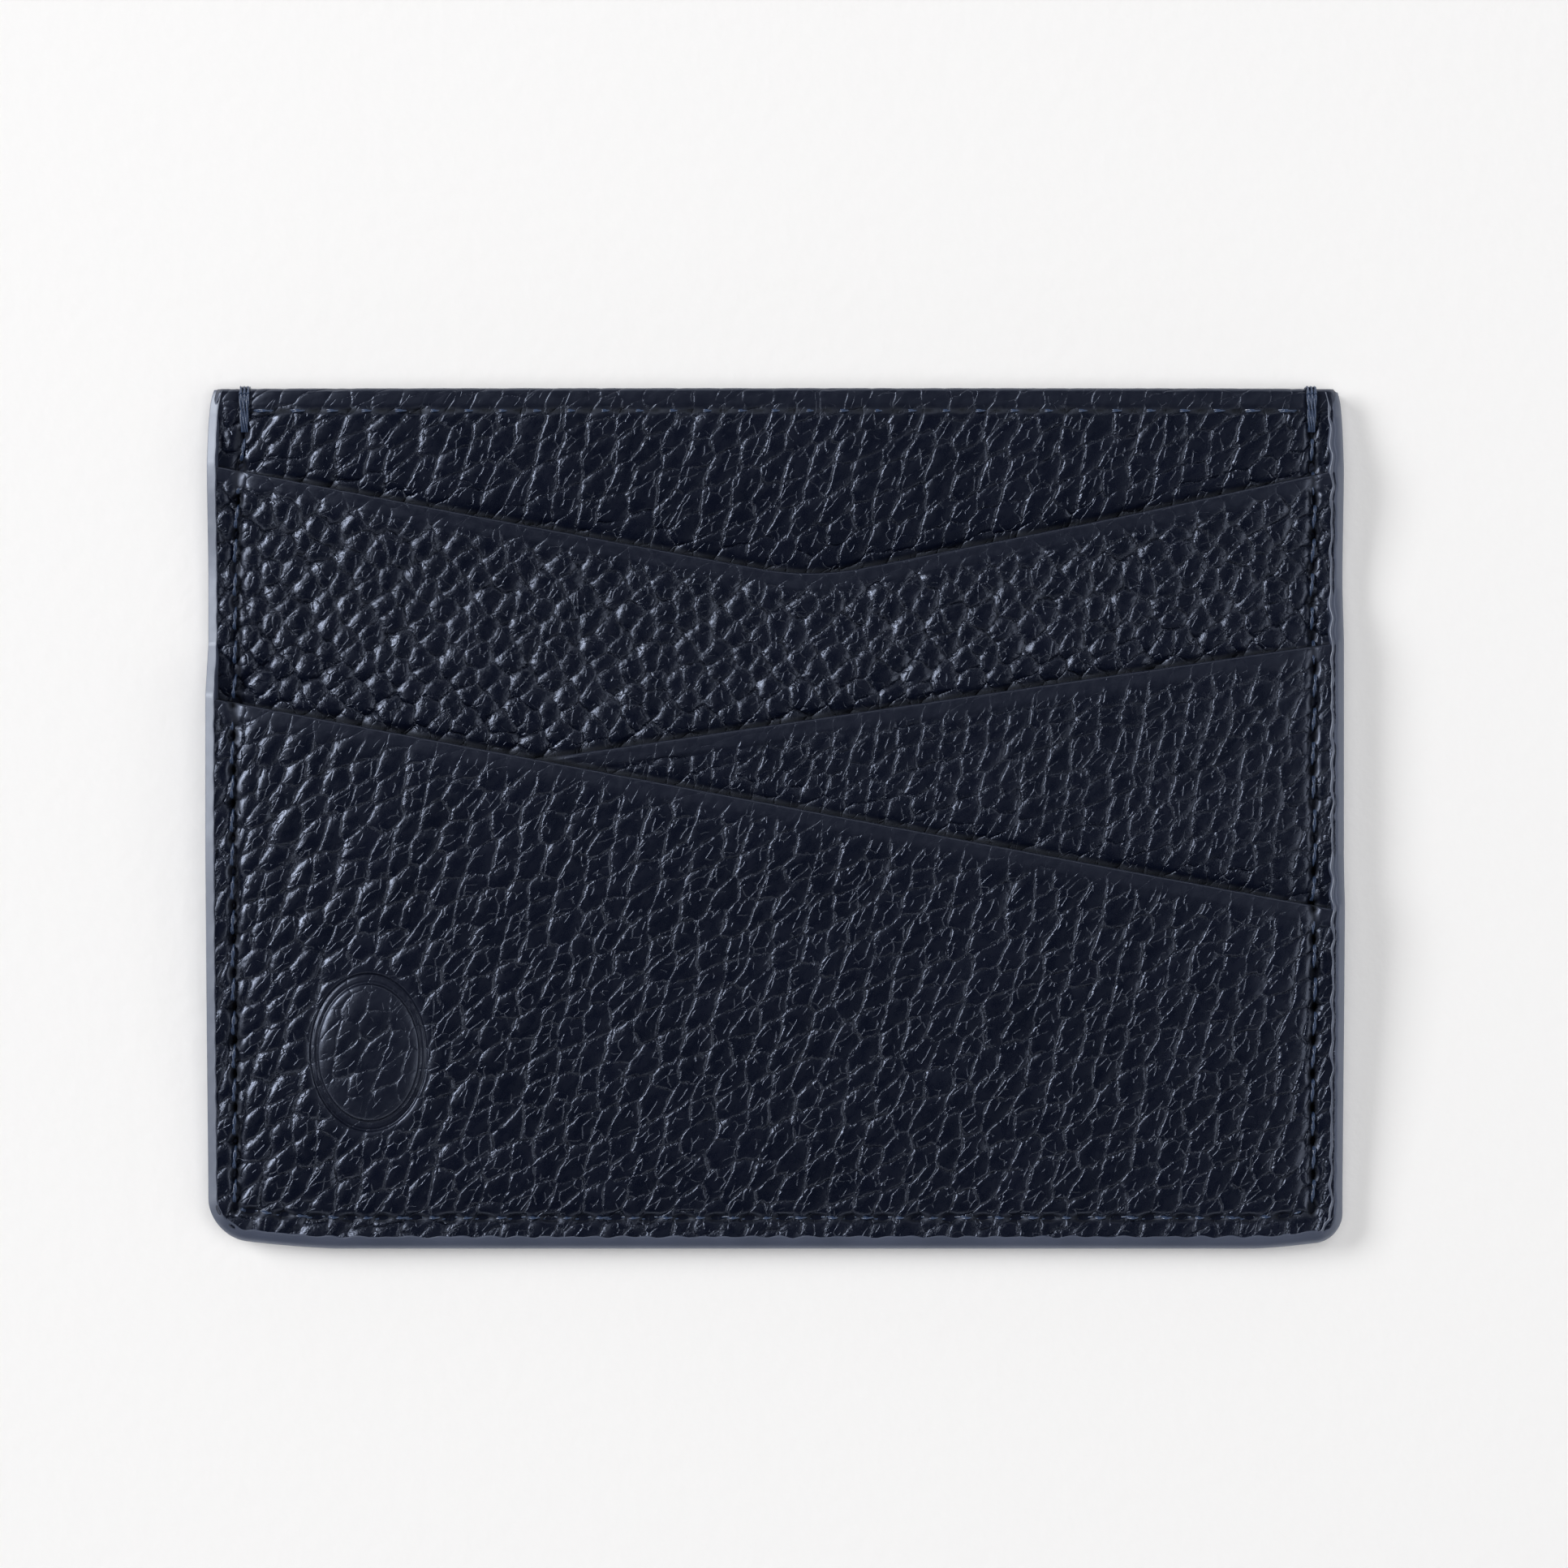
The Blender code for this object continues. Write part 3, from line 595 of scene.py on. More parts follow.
def hemmed_panel(face, seen_line, fine_rows, coarse_rows, hide_shift, lift, deep_pits=0.45,
                 cover=None):
    """A whole panel whose top edge is turned in as a hem, with its row of holes along the top."""
    laid = lay_panel(face, lambda x: TOP + 0 * x, leather_foot, seen_line, fine_rows, coarse_rows,
                     HEM_ROLL, HEM_TURN_IN, hide_shift, band=(1.3, 2.4), lift=lift, smooth_band=0.7,
                     corner_tuck=0.5, deep_pits=deep_pits, cover=cover)
    x, y, z = np.moveaxis(laid["places"], -1, 0)
    front = z > face[0][1] - HEM_ROLL
    row = np.exp(-((y - HEM_SEAM_Y) / 0.22) ** 2) * (np.abs(x) < HEM_SEAM_X + 0.6) * front
    pit = row * np.exp(-((((x + HEM_SEAM_X) / STITCH + 0.5) % 1 - 0.5) * STITCH / 0.4) ** 2)
    laid["places"][..., 2] = z - 0.13 * row - 0.15 * pit
    # Painted shade: the hem's stitch groove and its needle holes are marked dark.
    laid["painted_shade"] = np.clip(np.maximum(laid["painted_shade"], 0.6 * row + pit), 0, 1)
    return laid


def leather_foot(x):
    """Where the leather ends along the bottom, under the edge paint."""
    corner = np.where(x < 0, LEFT_CORNER, RIGHT_CORNER)
    past = np.clip(np.abs(x) - (HALF_WIDTH - corner), 0, corner - PAINT)
    return BOTTOM + corner - np.sqrt((corner - PAINT) ** 2 - past ** 2) + eased_foot(x)


back_leather = leather_finish("back_leather", 0.5, 0.35)
laid = hemmed_panel(((-40, 0.0), (40, 0.0)), lambda x: foot(x) + 0.5, 180, 3, (140.0, 60.0), 0.0,
                    deep_pits=0.0)
laid["places"][..., 2] = BACK_REST - laid["places"][..., 2]
back = make_sheet("back_panel", laid, back_leather, thickness=0.4, flip=True, relief=0.35)
join_body(back, "leather", "back_panel")

# Front base panel: the same whole piece for the front wall of the centre pocket. Only its top
# shows, with the turned hem along the mouth and a row of stitching under it.
BASE_FACE = ((40, 3.0), (30, 3.0), (22, 2.0), (-40, 2.0))
UPPER_MOUTH = ((-60.0, 33.0), (-28.3, 26.9), (3.2, 21.1), (30.0, 26.4), (60.0, 32.9))


def upper_mouth(x):
    return along(UPPER_MOUTH, x, 4.0)


base_leather = leather_finish("base_leather", 0.38, 0.3)
laid = hemmed_panel(BASE_FACE, lambda x: upper_mouth(x) - 1.5, 90, 12, (0.0, 0.0), 0.25,
                    cover=upper_mouth)
base = make_sheet("front_base_panel", laid, base_leather, thickness=0.4)
join_body(base, "leather", "front_base_panel")

# Upper slot panel: its mouth is a shallow V, turned in and creased with a hot iron. The leather
# is softer here, with small full pebbles and many fine wrinkles.
SLOT_ROLL = 0.33
SLOT_TURN_IN = 5.0
UPPER_END = -3.0
UPPER_FACE = ((40, 4.0), (30, 4.0), (22, 3.0), (-40, 3.0))
MIDDLE_MOUTH = ((-50.0, 0.9), (50.0, 15.5))
LOWER_MOUTH = ((-50.0, 10.6), (50.0, -8.2))


def straight(points, x):
    """A mouth's line, carried on past its ends."""
    (left_x, left_y), (right_x, right_y) = points[0], points[-1]
    return left_y + (x - left_x) * (right_y - left_y) / (right_x - left_x)


def middle_mouth(x):
    return straight(MIDDLE_MOUTH, x)


def lower_mouth(x):
    return straight(LOWER_MOUTH, x)


upper_leather = leather_finish("upper_leather", 0.6, 1.0)
laid = lay_panel(UPPER_FACE, upper_mouth, lambda x: UPPER_END + 0 * x,
                 lambda x: np.maximum(middle_mouth(x), lower_mouth(x)) - 1.5, 130, 8, SLOT_ROLL,
                 SLOT_TURN_IN, (31.0, 17.0), lift=0.2, hide_scale=0.97,
                 cover=lambda x: np.maximum(middle_mouth(x), lower_mouth(x)))
laid["stretch"] = 1.2
laid["lean"] = 12.0
upper = make_sheet("upper_slot_panel", laid, upper_leather)
join_body(upper, "leather", "upper_slot_panel")

# Middle slot panel: another cut of the same leather. Its mouth is turned in and ironed like the
# upper one, and rises to the right out from under the lower panel.
MIDDLE_END = -16.0
MIDDLE_FACE = ((40, 4.0), (-3, 4.0), (-8, 3.25), (-40, 3.25))
middle_leather = leather_finish("middle_leather", 0.65, 0.35, depth=0.85)
laid = lay_panel(MIDDLE_FACE, middle_mouth, lambda x: MIDDLE_END + 0 * x,
                 lambda x: np.minimum(lower_mouth(x) - 1.5, middle_mouth(x) - 1.0), 110, 6, SLOT_ROLL,
                 SLOT_TURN_IN, (57.0, 80.0), lift=0.2, hide_scale=1.1, cover=lower_mouth)
laid["stretch"] = 1.6
middle = make_sheet("middle_slot_panel", laid, middle_leather)
join_body(middle, "leather", "middle_slot_panel")

# Lower slot panel: the front-most piece, its mouth falling to the right. A plain oval ring is
# stamped blind into its lower left corner, with the leather pillowed inside the ring.
LOWER_FACE = ((40, 5.0), (-3, 5.0), (-16, 4.25), (-33, 3.0), (-40, 3.0))
STAMP_CENTRE = (-35.7, -20.6)
STAMP_HALF = (4.8, 6.5)
STAMP_MEAN = 5.6


def stamp_oval(x, y):
    """The distance outside the stamped ring's line, less than nothing within it."""
    return STAMP_MEAN * (np.hypot((x - STAMP_CENTRE[0]) / STAMP_HALF[0],
                                  (y - STAMP_CENTRE[1]) / STAMP_HALF[1]) - 1)


def engrave(material, shift, depth, width):
    """Sharpens the stamped ring in a finish: two fine lines where the die's edges pressed."""
    tree = material.node_tree
    bump = next(made for made in tree.nodes if made.type == "BUMP")
    place = tree.nodes.new("ShaderNodeTexCoord").outputs["Object"]
    centred = node(tree, "ShaderNodeVectorMath", operation="SUBTRACT",
                   inputs={0: place, 1: (STAMP_CENTRE[0] * MM, STAMP_CENTRE[1] * MM, 0.0)})
    shares = node(tree, "ShaderNodeVectorMath", operation="MULTIPLY",
                  inputs={0: centred, 1: (1 / (STAMP_HALF[0] * MM), 1 / (STAMP_HALF[1] * MM), 0.0)})
    out = node(tree, "ShaderNodeVectorMath", {0: shares}, operation="LENGTH").node.outputs["Value"]
    distance = compute(tree, "MULTIPLY_ADD", out, STAMP_MEAN, -STAMP_MEAN)
    height = bump.inputs["Height"].links[0].from_socket
    for side in (-shift, shift):
        off_line = compute(tree, "DIVIDE", compute(tree, "SUBTRACT", distance, side), width)
        squared = compute(tree, "MULTIPLY", off_line, off_line)
        line = compute(tree, "EXPONENT", compute(tree, "MULTIPLY", squared, -1.0))
        height = compute(tree, "MULTIPLY_ADD", line, -depth, height)
    tree.links.new(height, bump.inputs["Height"])


lower_leather = leather_finish("lower_leather", 0.36, 0.3)
engrave(lower_leather, 0.3, 0.17, 0.13)
laid = lay_panel(LOWER_FACE, lower_mouth, leather_foot, lambda x: foot(x) + 4.5, 136, 24, SLOT_ROLL,
                 SLOT_TURN_IN, (-20.0, 120.0), lift=0.2)
stamped = stamp_oval(laid["places"][..., 0], laid["places"][..., 1])
ring = np.exp(-(stamped / 0.32) ** 2)
pillow = np.clip(-stamped / STAMP_MEAN, 0, 1)
front = laid["places"][..., 2] > 2.0
laid["places"][..., 2] += front * (0.42 * (1 - np.exp(-np.maximum(-stamped, 0) / 1.1)) - 0.32 * ring)
flattened = front * 0.9 * np.exp(-(np.maximum(stamped, 0) / 0.9) ** 2)
flattened = flattened * (1 - 0.6 * np.clip(2 * pillow, 0, 1))
laid["press"] = np.maximum(laid["press"], flattened)
lower = make_sheet("lower_slot_panel", laid, lower_leather)
join_body(lower, "leather", "lower_slot_panel")

# Linings: fine navy twill glued to the flesh side of both pocket walls and of each slot panel, and
# held in the edge seam. Each is one flat cut. A slot's lining narrows to a tongue below its panel.
LINING_THICKNESS = 0.12
LINING_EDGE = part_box("front_lining")[1].x / MM
LINING_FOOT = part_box("front_lining")[0].y / MM
LINING_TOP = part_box("front_lining")[1].y / MM
LINING_DROP = 5.0
LINING_DEPTH = 0.7
TONGUE_EDGE = 45.9
UPPER_FLOOR = -21.0
MIDDLE_FLOOR = -28.0


def cloth_finish(name, colour):
    """Matt twill of fine yarn, its ribs running up to the right."""
    material, shader = principled(name, colour, 0.8)
    shader.inputs["Sheen Weight"].default_value = 0.3
    shader.inputs["Sheen Roughness"].default_value = 0.4
    tree = material.node_tree
    place = tree.nodes.new("ShaderNodeTexCoord").outputs["Object"]
    rib_place = node(tree, "ShaderNodeMapping", {"Vector": place, "Rotation": (0, 0, math.radians(58))})
    rib = tree.nodes.new("ShaderNodeTexWave")
    rib.inputs["Scale"].default_value = 780.0
    rib.inputs["Distortion"].default_value = 0.8
    rib.inputs["Detail"].default_value = 1.0
    tree.links.new(rib_place, rib.inputs["Vector"])
    yarn = noise(tree, place, 5200.0, 2.0)
    height = compute(tree, "MULTIPLY", compute(tree, "ADD", rib.outputs["Fac"], yarn), 0.025)
    raise_surface(tree, shader, height, 1.0)
    # Painted light and shade on the weave: the ribs are painted lighter and the valleys between them
    # darker.
    valley_shade_colour = [0.55 * channel for channel in colour]
    rib_highlight_colour = [1.3 * channel for channel in colour]
    tint = two_tone(tree, rib.outputs["Fac"], 0.0, valley_shade_colour, 1.0, rib_highlight_colour)
    tree.links.new(tint, shader.inputs["Base Color"])
    return material


lining_cloth = cloth_finish("lining_twill", (0.014, 0.018, 0.034))


def lay_lining(name, face, top_line, shoulder, low, drawn=1.0):
    """One lining: full width down to its shoulder, and drawn in to a tongue below it."""
    x = COLUMNS * LINING_EDGE / COLUMNS[-1]
    top = top_line(x)
    low = np.maximum(low, leather_foot(x) + 0.7)
    rows = np.linspace(0, 1, 48)[:, None]
    y = low + (top - low) * rows
    tongue = np.clip((shoulder - y) / 0.5, 0, 1)
    xs = x * (1 + (TONGUE_EDGE / LINING_EDGE - 1) * tongue)
    z = along(face, y, 0.8) - LINING_THICKNESS / 2 - drawn * drawn_down(xs, y)
    z = z - 0.75 * seam_pits(xs, y) * (drawn > 0.5)
    laid = {"places": np.stack([xs, y, z], axis=-1), "hide": np.stack([xs, y], axis=-1),
            "press": np.ones_like(y)}
    piece = make_sheet(name, laid, lining_cloth, thickness=LINING_THICKNESS, offset=0.0, relief=0.0)
    join_body(piece, "lining", name)
    even = np.linspace(-LINING_EDGE, LINING_EDGE, 200)
    cut = 2 * LINING_EDGE * np.mean(np.interp(even, x, top - low))
    cut -= 2 * (LINING_EDGE - TONGUE_EDGE) * max(0.0, shoulder - low.min())


lay_lining("back_lining", ((40, 1.25), (30, 1.25), (28, 0.85), (-40, 0.85)), lambda x: LINING_TOP + 0 * x,
           LINING_FOOT - 1, LINING_FOOT, drawn=-0.6)
lay_lining("front_lining", ((40, 1.9), (30, 1.9), (22, 1.3), (-40, 1.3)), lambda x: LINING_TOP + 0 * x,
           LINING_FOOT - 1, LINING_FOOT, drawn=0.15)
lay_lining("upper_slot_lining", ((40, 3.3), (30, 3.3), (22, 2.3), (-40, 2.3)),
           lambda x: upper_mouth(x) - LINING_DROP, UPPER_END, UPPER_FLOOR)
lay_lining("middle_slot_lining", ((40, 3.3), (-3, 3.3), (-8, 2.55), (-16.4, 2.55), (-18, 2.85),
                                  (-21.5, 2.85), (-25, 2.3), (-40, 2.3)),
           lambda x: middle_mouth(x) - LINING_DROP, MIDDLE_END, MIDDLE_FLOOR)
lay_lining("lower_slot_lining", tuple((y, z - LINING_DEPTH) for y, z in LOWER_FACE),
           lambda x: lower_mouth(x) - LINING_DROP, LINING_FOOT - 1, LINING_FOOT)

# Hem tapes: strips of pale non-woven tape laid inside both hems before they are turned and sewn,
# so that the mouth of the centre pocket doesn't stretch.
tape_fibre, tape_shader = principled("hem_tape_fibre", (0.55, 0.54, 0.5), 0.9)
tree = tape_fibre.node_tree
tape_place = tree.nodes.new("ShaderNodeTexCoord").outputs["Object"]
strands = noise(tree, tape_place, 2600.0, detail=4.0, roughness=0.7)
raise_surface(tree, tape_shader, compute(tree, "MULTIPLY", strands, 0.04), 1.0)
tape_tint = two_tone(tree, strands, 0.0, (0.42, 0.41, 0.38), 1.0, (0.66, 0.65, 0.61))
tree.links.new(tape_tint, tape_shader.inputs["Base Color"])
TAPE_END = 46.3
for name, level, side in (("back_hem_tape", 0.5, -1), ("front_hem_tape", 2.5, 1)):
    low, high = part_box(name)
    x = COLUMNS * TAPE_END / COLUMNS[-1]
    y = np.linspace(low.y / MM, high.y / MM, 11)[:, None] + 0 * x
    xs = np.broadcast_to(x, y.shape)
    z = level - side * (drawn_down(xs, y) + 0.75 * seam_pits(xs, y))
    laid = {"places": np.stack([xs, y, z], axis=-1), "hide": np.stack([xs, y], axis=-1),
            "press": np.ones_like(y)}
    tape = make_sheet(name, laid, tape_fibre, thickness=0.1, offset=0.0, relief=0.0)
    join_body(tape, "tape", name)

# Edge paint: the raw edges of every layer are sanded together and painted slate blue in several
# coats, left, bottom and right. The paint stands as a soft bead and laps a little onto the leather.
PAINT_STEP = 0.22
paint_finish, paint_shader = principled("edge_paint", (0.044, 0.055, 0.097), 0.48)
paint_shader.inputs["Specular Tint"].default_value = (0.84, 0.9, 1.0, 1.0)
paint_shader.inputs["IOR"].default_value = 2.0
paint_shader.inputs["Specular IOR Level"].default_value = 0.9
tree = paint_finish.node_tree
paint_place = tree.nodes.new("ShaderNodeTexCoord").outputs["Object"]
coat = noise(tree, paint_place, 420.0, detail=3.0)
raise_surface(tree, paint_shader, compute(tree, "MULTIPLY", coat, 0.03), 1.0)
clouding = noise(tree, paint_place, 160.0, detail=3.0)
paint_tint = two_tone(tree, clouding, 0.35, (0.030, 0.040, 0.075), 0.7, (0.042, 0.053, 0.094))
tree.links.new(paint_tint, paint_shader.inputs["Base Color"])


def edge_run():
    """Places down the left edge, along the bottom and up the right, each with its way out."""
    places, ways = [], []

    def straight_run(x0, y0, x1, y1, way):
        count = max(2, round(math.hypot(x1 - x0, y1 - y0) / PAINT_STEP))
        for share in np.linspace(0, 1, count, endpoint=False):
            places.append((x0 + (x1 - x0) * share, y0 + (y1 - y0) * share))
            ways.append(way)

    def corner_run(x, y, radius, first):
        for share in np.linspace(0, 1, 24, endpoint=False):
            turn = math.radians(first + 90 * share)
            ways.append((math.cos(turn), math.sin(turn)))
            places.append((x + radius * math.cos(turn), y + radius * math.sin(turn)))

    head = TOP - 0.08
    straight_run(-HALF_WIDTH, head, -HALF_WIDTH, BOTTOM + LEFT_CORNER, (-1.0, 0.0))
    corner_run(-HALF_WIDTH + LEFT_CORNER, BOTTOM + LEFT_CORNER, LEFT_CORNER, 180)
    straight_run(-HALF_WIDTH + LEFT_CORNER, BOTTOM, HALF_WIDTH - RIGHT_CORNER, BOTTOM, (0.0, -1.0))
    corner_run(HALF_WIDTH - RIGHT_CORNER, BOTTOM + RIGHT_CORNER, RIGHT_CORNER, 270)
    straight_run(HALF_WIDTH, BOTTOM + RIGHT_CORNER, HALF_WIDTH, head, (1.0, 0.0))
    places = np.array(places)
    places[:, 1] += eased_foot(places[:, 0]) * np.clip(1 - (places[:, 1] - BOTTOM - 3.4) / 8.0, 0, 1)
    return places, np.array(ways)


def front_height(x, y, ease=0.5, ahead=0.0):
    """The height of whichever panel is foremost, eased where a panel's mouth steps down."""
    height = along(BASE_FACE, y, 1.5) + 0 * x
    for face, mouth in ((UPPER_FACE, upper_mouth), (MIDDLE_FACE, middle_mouth),
                        (LOWER_FACE, lower_mouth)):
        covered = np.clip((mouth(x) + ahead - y) / ease + 0.5, 0, 1)
        height = height + covered * (along(face, y, 1.5) - height)
    return height


places, ways = edge_run()
travel = np.concatenate([[0], np.cumsum(np.hypot(*np.diff(places, axis=0).T))])
scallop = 0.5 * np.abs(np.sin(travel * 0.95 + 0.8 * np.sin(travel * 0.31))) + 0.25 * np.sin(travel * 2.7)
share_down = np.clip(-ways[:, 1], 0, 1)
share_right = np.clip(ways[:, 0], 0, 1)
share_left = np.clip(-ways[:, 0], 0, 1) ** 2
lip = 0.84 + 0.28 * share_down + 0.36 * share_right
lip = lip + (0.08 + 0.16 * share_down + 0.2 * share_right) * (scallop - 0.3)
lip_x, lip_y = (places - ways * lip[:, None]).T
lip_z = front_height(lip_x, lip_y, 4.5, ahead=2.6) - drawn_down(lip_x, lip_y)
near_head = np.exp(-(TOP - places[:, 1]) / 0.8)
crown = lip_z + 0.12 - 0.35 * near_head
tuck = 0.5 * np.exp(-(TOP - places[:, 1]) / 1.3)
coats = 0.025 * np.sin(travel * 0.7)
profile = [(lip + 0.12, lip_z - 0.25), (lip, lip_z + 0.01), (0.95 * lip, lip_z + 0.08)]
for share in (0.86, 0.74, 0.62, 0.5, 0.38, 0.27, 0.17, 0.08, 0.02, 0.0):
    rounding = 1 - np.sqrt(1 - (1 - share) ** 2)
    ripple = 0.14 * share_right * np.exp(-((share - 0.74) / 0.07) ** 2)
    slope = 0.43 * (1 - share) + 0.08 * (share < 0.01)
    fall = share_left * slope + (1 - share_left) * 0.62 * rounding
    profile.append((share * lip, crown - 0.05 - fall - ripple))
for level, step in ((0.82, 0.05), (0.7, 0.01), (0.56, 0.05), (0.44, 0.0), (0.3, 0.045), (0.2, 0.01)):
    profile.append((0 * lip + step + coats, 0.1 + level * (crown - 0.7)))
for step, height in ((0.05, 0.3), (0.2, 0.13), (0.5, 0.09), (0.75, 0.2), (0.9, 0.6)):
    profile.append((step + 0 * lip, height + 0 * lip))
profile.append(profile[0])
depths = np.array([step for step, height in profile])
heights = np.array([height for step, height in profile])
bead_xy = places[None] - ways[None] * (depths + tuck)[..., None]
bead_places = np.concatenate([bead_xy, heights[..., None]], axis=-1)


def make_bead(name, places, material):
    """A closed bead: a blank of quads laid along the edge, joined into a tube with its ends filled."""
    rows, columns = places.shape[:2]
    bm = bmesh.new()
    bmesh.ops.create_grid(bm, x_segments=columns - 1, y_segments=rows - 1, size=1.0)
    for vert in bm.verts:
        column = round((vert.co.x + 1) / 2 * (columns - 1))
        row = round((vert.co.y + 1) / 2 * (rows - 1))
        vert.co = Vector(places[row, column]) * MM
    bmesh.ops.remove_doubles(bm, verts=bm.verts, dist=0.002 * MM)
    bmesh.ops.holes_fill(bm, edges=[edge for edge in bm.edges if edge.is_boundary], sides=0)
    bmesh.ops.recalc_face_normals(bm, faces=bm.faces)
    for face in bm.faces:
        face.smooth = len(face.verts) < 5
    mesh = bpy.data.meshes.new(name)
    bm.to_mesh(mesh)
    bm.free()
    mesh.materials.append(material)
    bead = bpy.data.objects.new(name, mesh)
    bpy.context.scene.collection.objects.link(bead)
    return bead


bead = make_bead("edge_paint", bead_places, paint_finish)
join_body(bead, "edge_paint", "edge_paint_left", "edge_paint_bottom", "edge_paint_right")

# Thread: waxed navy polyester of two twisted plies, three millimetres to the stitch. Each stitch
# rises from one needle hole, lies in the groove, and goes down the next.
PLY_RADIUS = 0.088
PLY_OFFSET = 0.08
PLY_TURNS = 1.1
STITCH_STEPS = 9
thread_finish, thread_shader = principled("waxed_thread", (0.036, 0.058, 0.115), 0.3)
thread_shader.inputs["Specular IOR Level"].default_value = 0.9
tree = thread_finish.node_tree
thread_place = tree.nodes.new("ShaderNodeTexCoord").outputs["Object"]
filament = noise(tree, thread_place, 6000.0, detail=2.0)
raise_surface(tree, thread_shader, compute(tree, "MULTIPLY", filament, 0.03), 1.0)
wax_gloss = remap(tree, noise(tree, thread_place, 900.0), 0.3, 0.7, 0.2, 0.36)
tree.links.new(wax_gloss, thread_shader.inputs["Roughness"])


def sew(name, stitches):
    """Lays twisted stitches. Each is a start, an end, the way off the leather, and a shape.

    The shape is how high its middle stands, how deep its ends go, and how suddenly they do.
    """
    curve = bpy.data.curves.new(name, "CURVE")
    curve.dimensions = "3D"
    curve.bevel_depth = PLY_RADIUS * MM
    curve.bevel_resolution = 1
    curve.use_fill_caps = True
    for start, end, up, crown_height, sink, bend in stitches:
        start, end, up = Vector(start), Vector(end), Vector(up)
        aside = (end - start).cross(up).normalized()
        for ply in (0, math.pi):
            spline = curve.splines.new("POLY")
            spline.points.add(STITCH_STEPS - 1)
            for i in range(STITCH_STEPS):
                share = i / (STITCH_STEPS - 1)
                rise = crown_height - sink * abs(2 * share - 1) ** bend
                turn = 2 * math.pi * PLY_TURNS * share + ply + 0.6
                place = start.lerp(end, share) + up * (rise + PLY_OFFSET * math.sin(turn))
                place += aside * PLY_OFFSET * math.cos(turn)
                spline.points[i].co = (*(place * MM), 1.0)
    loose = bpy.data.objects.new(name + "_line", curve)
    bpy.context.scene.collection.objects.link(loose)
    bpy.context.view_layer.update()
    evaluated = loose.evaluated_get(bpy.context.evaluated_depsgraph_get())
    mesh = bpy.data.meshes.new_from_object(evaluated)
    bpy.data.objects.remove(loose)
    mesh.name = name
    mesh.shade_smooth()
    mesh.materials.clear()
    mesh.materials.append(thread_finish)
    sewn = bpy.data.objects.new(name, mesh)
    bpy.context.scene.collection.objects.link(sewn)
    join_body(sewn, "thread", name)


GROOVE_SINK = 0.72
END_SLACK = 0.42
STITCH_SLANT = 0.09
BACK_GROOVE_Z = 0.62
BOTTOM_STITCH = (0.03, 0.56, 1.0)
SIDE_STITCH = (0.16, 0.9, 6)
BACK_STITCH = (0.3, 0.35, 6)


def groove_place(x, y):
    """A needle hole's place in the front groove."""
    return Vector((x, y, float(front_height(np.array(x), np.array(y))) - GROOVE_SINK))


front_stitches = []
back_stitches = []
for (x0, y0), (x1, y1) in zip(HOLES[:-1], HOLES[1:]):
    run = Vector((x1 - x0, y1 - y0, 0.0)).normalized()
    slant = Vector((-run.y, run.x, 0.0)) * STITCH_SLANT
    first = groove_place(x0, y0) + slant + run * END_SLACK
    last = groove_place(x1, y1) - slant - run * END_SLACK
    shape = BOTTOM_STITCH if max(y0, y1) < SEAM_FOOT + 2.0 else SIDE_STITCH
    front_stitches.append((first, last, (0, 0, 1), *shape))
    back_ends = Vector((x0, y0, BACK_GROOVE_Z)) - slant, Vector((x1, y1, BACK_GROOVE_Z)) + slant
    back_stitches.append((*back_ends, (0, 0, -1), *BACK_STITCH))
sew("edge_seam_front_thread", front_stitches)
sew("edge_seam_back_thread", back_stitches)

HEM_FACE = BASE_FACE[0][1]
HEM_LIFT = 0.14
HEM_SINK = 0.16
HEM_STITCH = (0.18, 1.2, 1.0)
INNER_STITCH = (0.05, 0.3, 6)
INNER_DEPTH = 1.02
FLOOR_SEAM_X = 44.9
FLOOR_SEAM_Z = 2.36
FLOOR_SEAM_RISE = 0.6


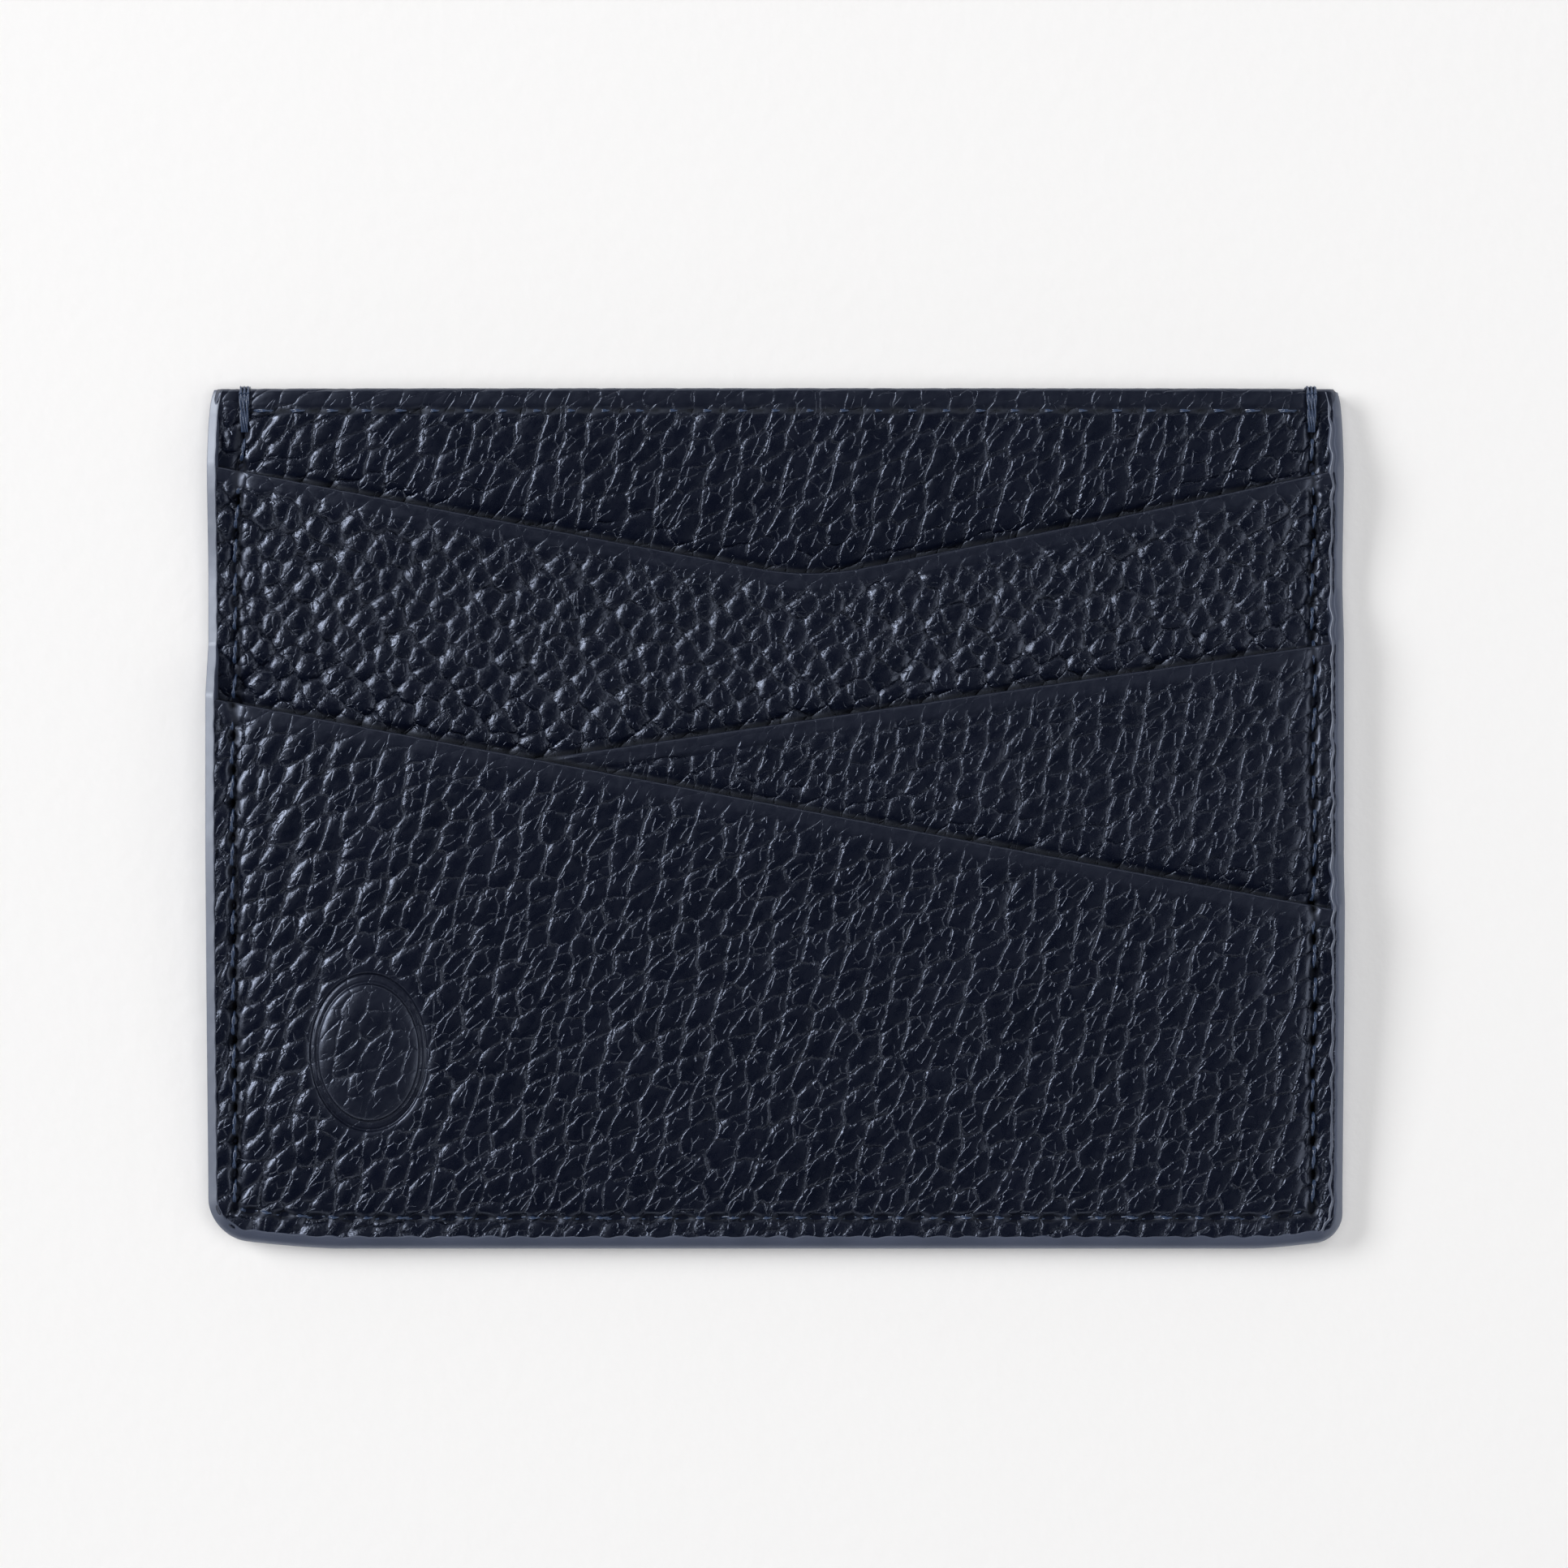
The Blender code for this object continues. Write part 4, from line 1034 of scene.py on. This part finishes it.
def straight_seam(name, x_end, y, z, up, shape, lift=0.0):
    """Sews a straight row of stitches from side to side."""
    places = np.linspace(-x_end, x_end, round(2 * x_end / STITCH) + 1)
    levels = z + lift * (1 - (places / 46.0) ** 2)
    stitches = [((x0, y + 0.04, z0), (x1, y - 0.04, z1), up, *shape)
                for x0, x1, z0, z1 in zip(places[:-1], places[1:], levels[:-1], levels[1:])]
    sew(name, stitches)


straight_seam("front_hem_seam_thread", HEM_SEAM_X, HEM_SEAM_Y, HEM_FACE - HEM_SINK, (0, 0, 1),
              HEM_STITCH, lift=HEM_LIFT)
straight_seam("front_hem_inner_thread", HEM_SEAM_X, HEM_SEAM_Y, HEM_FACE - INNER_DEPTH, (0, 0, -1),
              INNER_STITCH)
straight_seam("back_hem_inner_thread", HEM_SEAM_X, HEM_SEAM_Y, INNER_DEPTH, (0, 0, 1), INNER_STITCH)
for name, floor in (("upper_slot_floor_seam", UPPER_FLOOR), ("middle_slot_floor_seam", MIDDLE_FLOOR)):
    straight_seam(name, FLOOR_SEAM_X, floor + FLOOR_SEAM_RISE, FLOOR_SEAM_Z, (0, 0, 1), INNER_STITCH)

# Bartacks: at both ends of the edge seam the thread goes three times over the mouth of the centre
# pocket, to hold its corners, before it is cut and melted.
WRAP_SPACING = 0.32
for name, x_hole in (("left_bartack", HOLES[0][0]), ("right_bartack", HOLES[-1][0])):
    wraps = []
    for shift in (-WRAP_SPACING, 0.0, WRAP_SPACING):
        x_low = x_hole + 0.6 * shift
        x_top = x_hole + shift
        front_z, back_z = HEM_FACE - 0.42, 0.5
        front_ends = (x_low, SEAM_HEAD + 0.1, front_z - 0.2), (x_top, TOP - 0.35, front_z + 0.02)
        over_ends = (x_top, TOP - 0.5, front_z + 0.1), (x_top, TOP - 0.5, back_z - 0.15)
        back_ends = (x_top, TOP - 0.35, back_z), (x_low, SEAM_HEAD + 0.1, back_z + 0.15)
        wraps.append((*front_ends, (0, 0, 1), 0.16, 0.3, 6))
        wraps.append((*over_ends, (0, 1, 0), 0.62, 0.62, 6))
        wraps.append((*back_ends, (0, 0, -1), 0.1, 0.3, 6))
    sew(name, wraps)
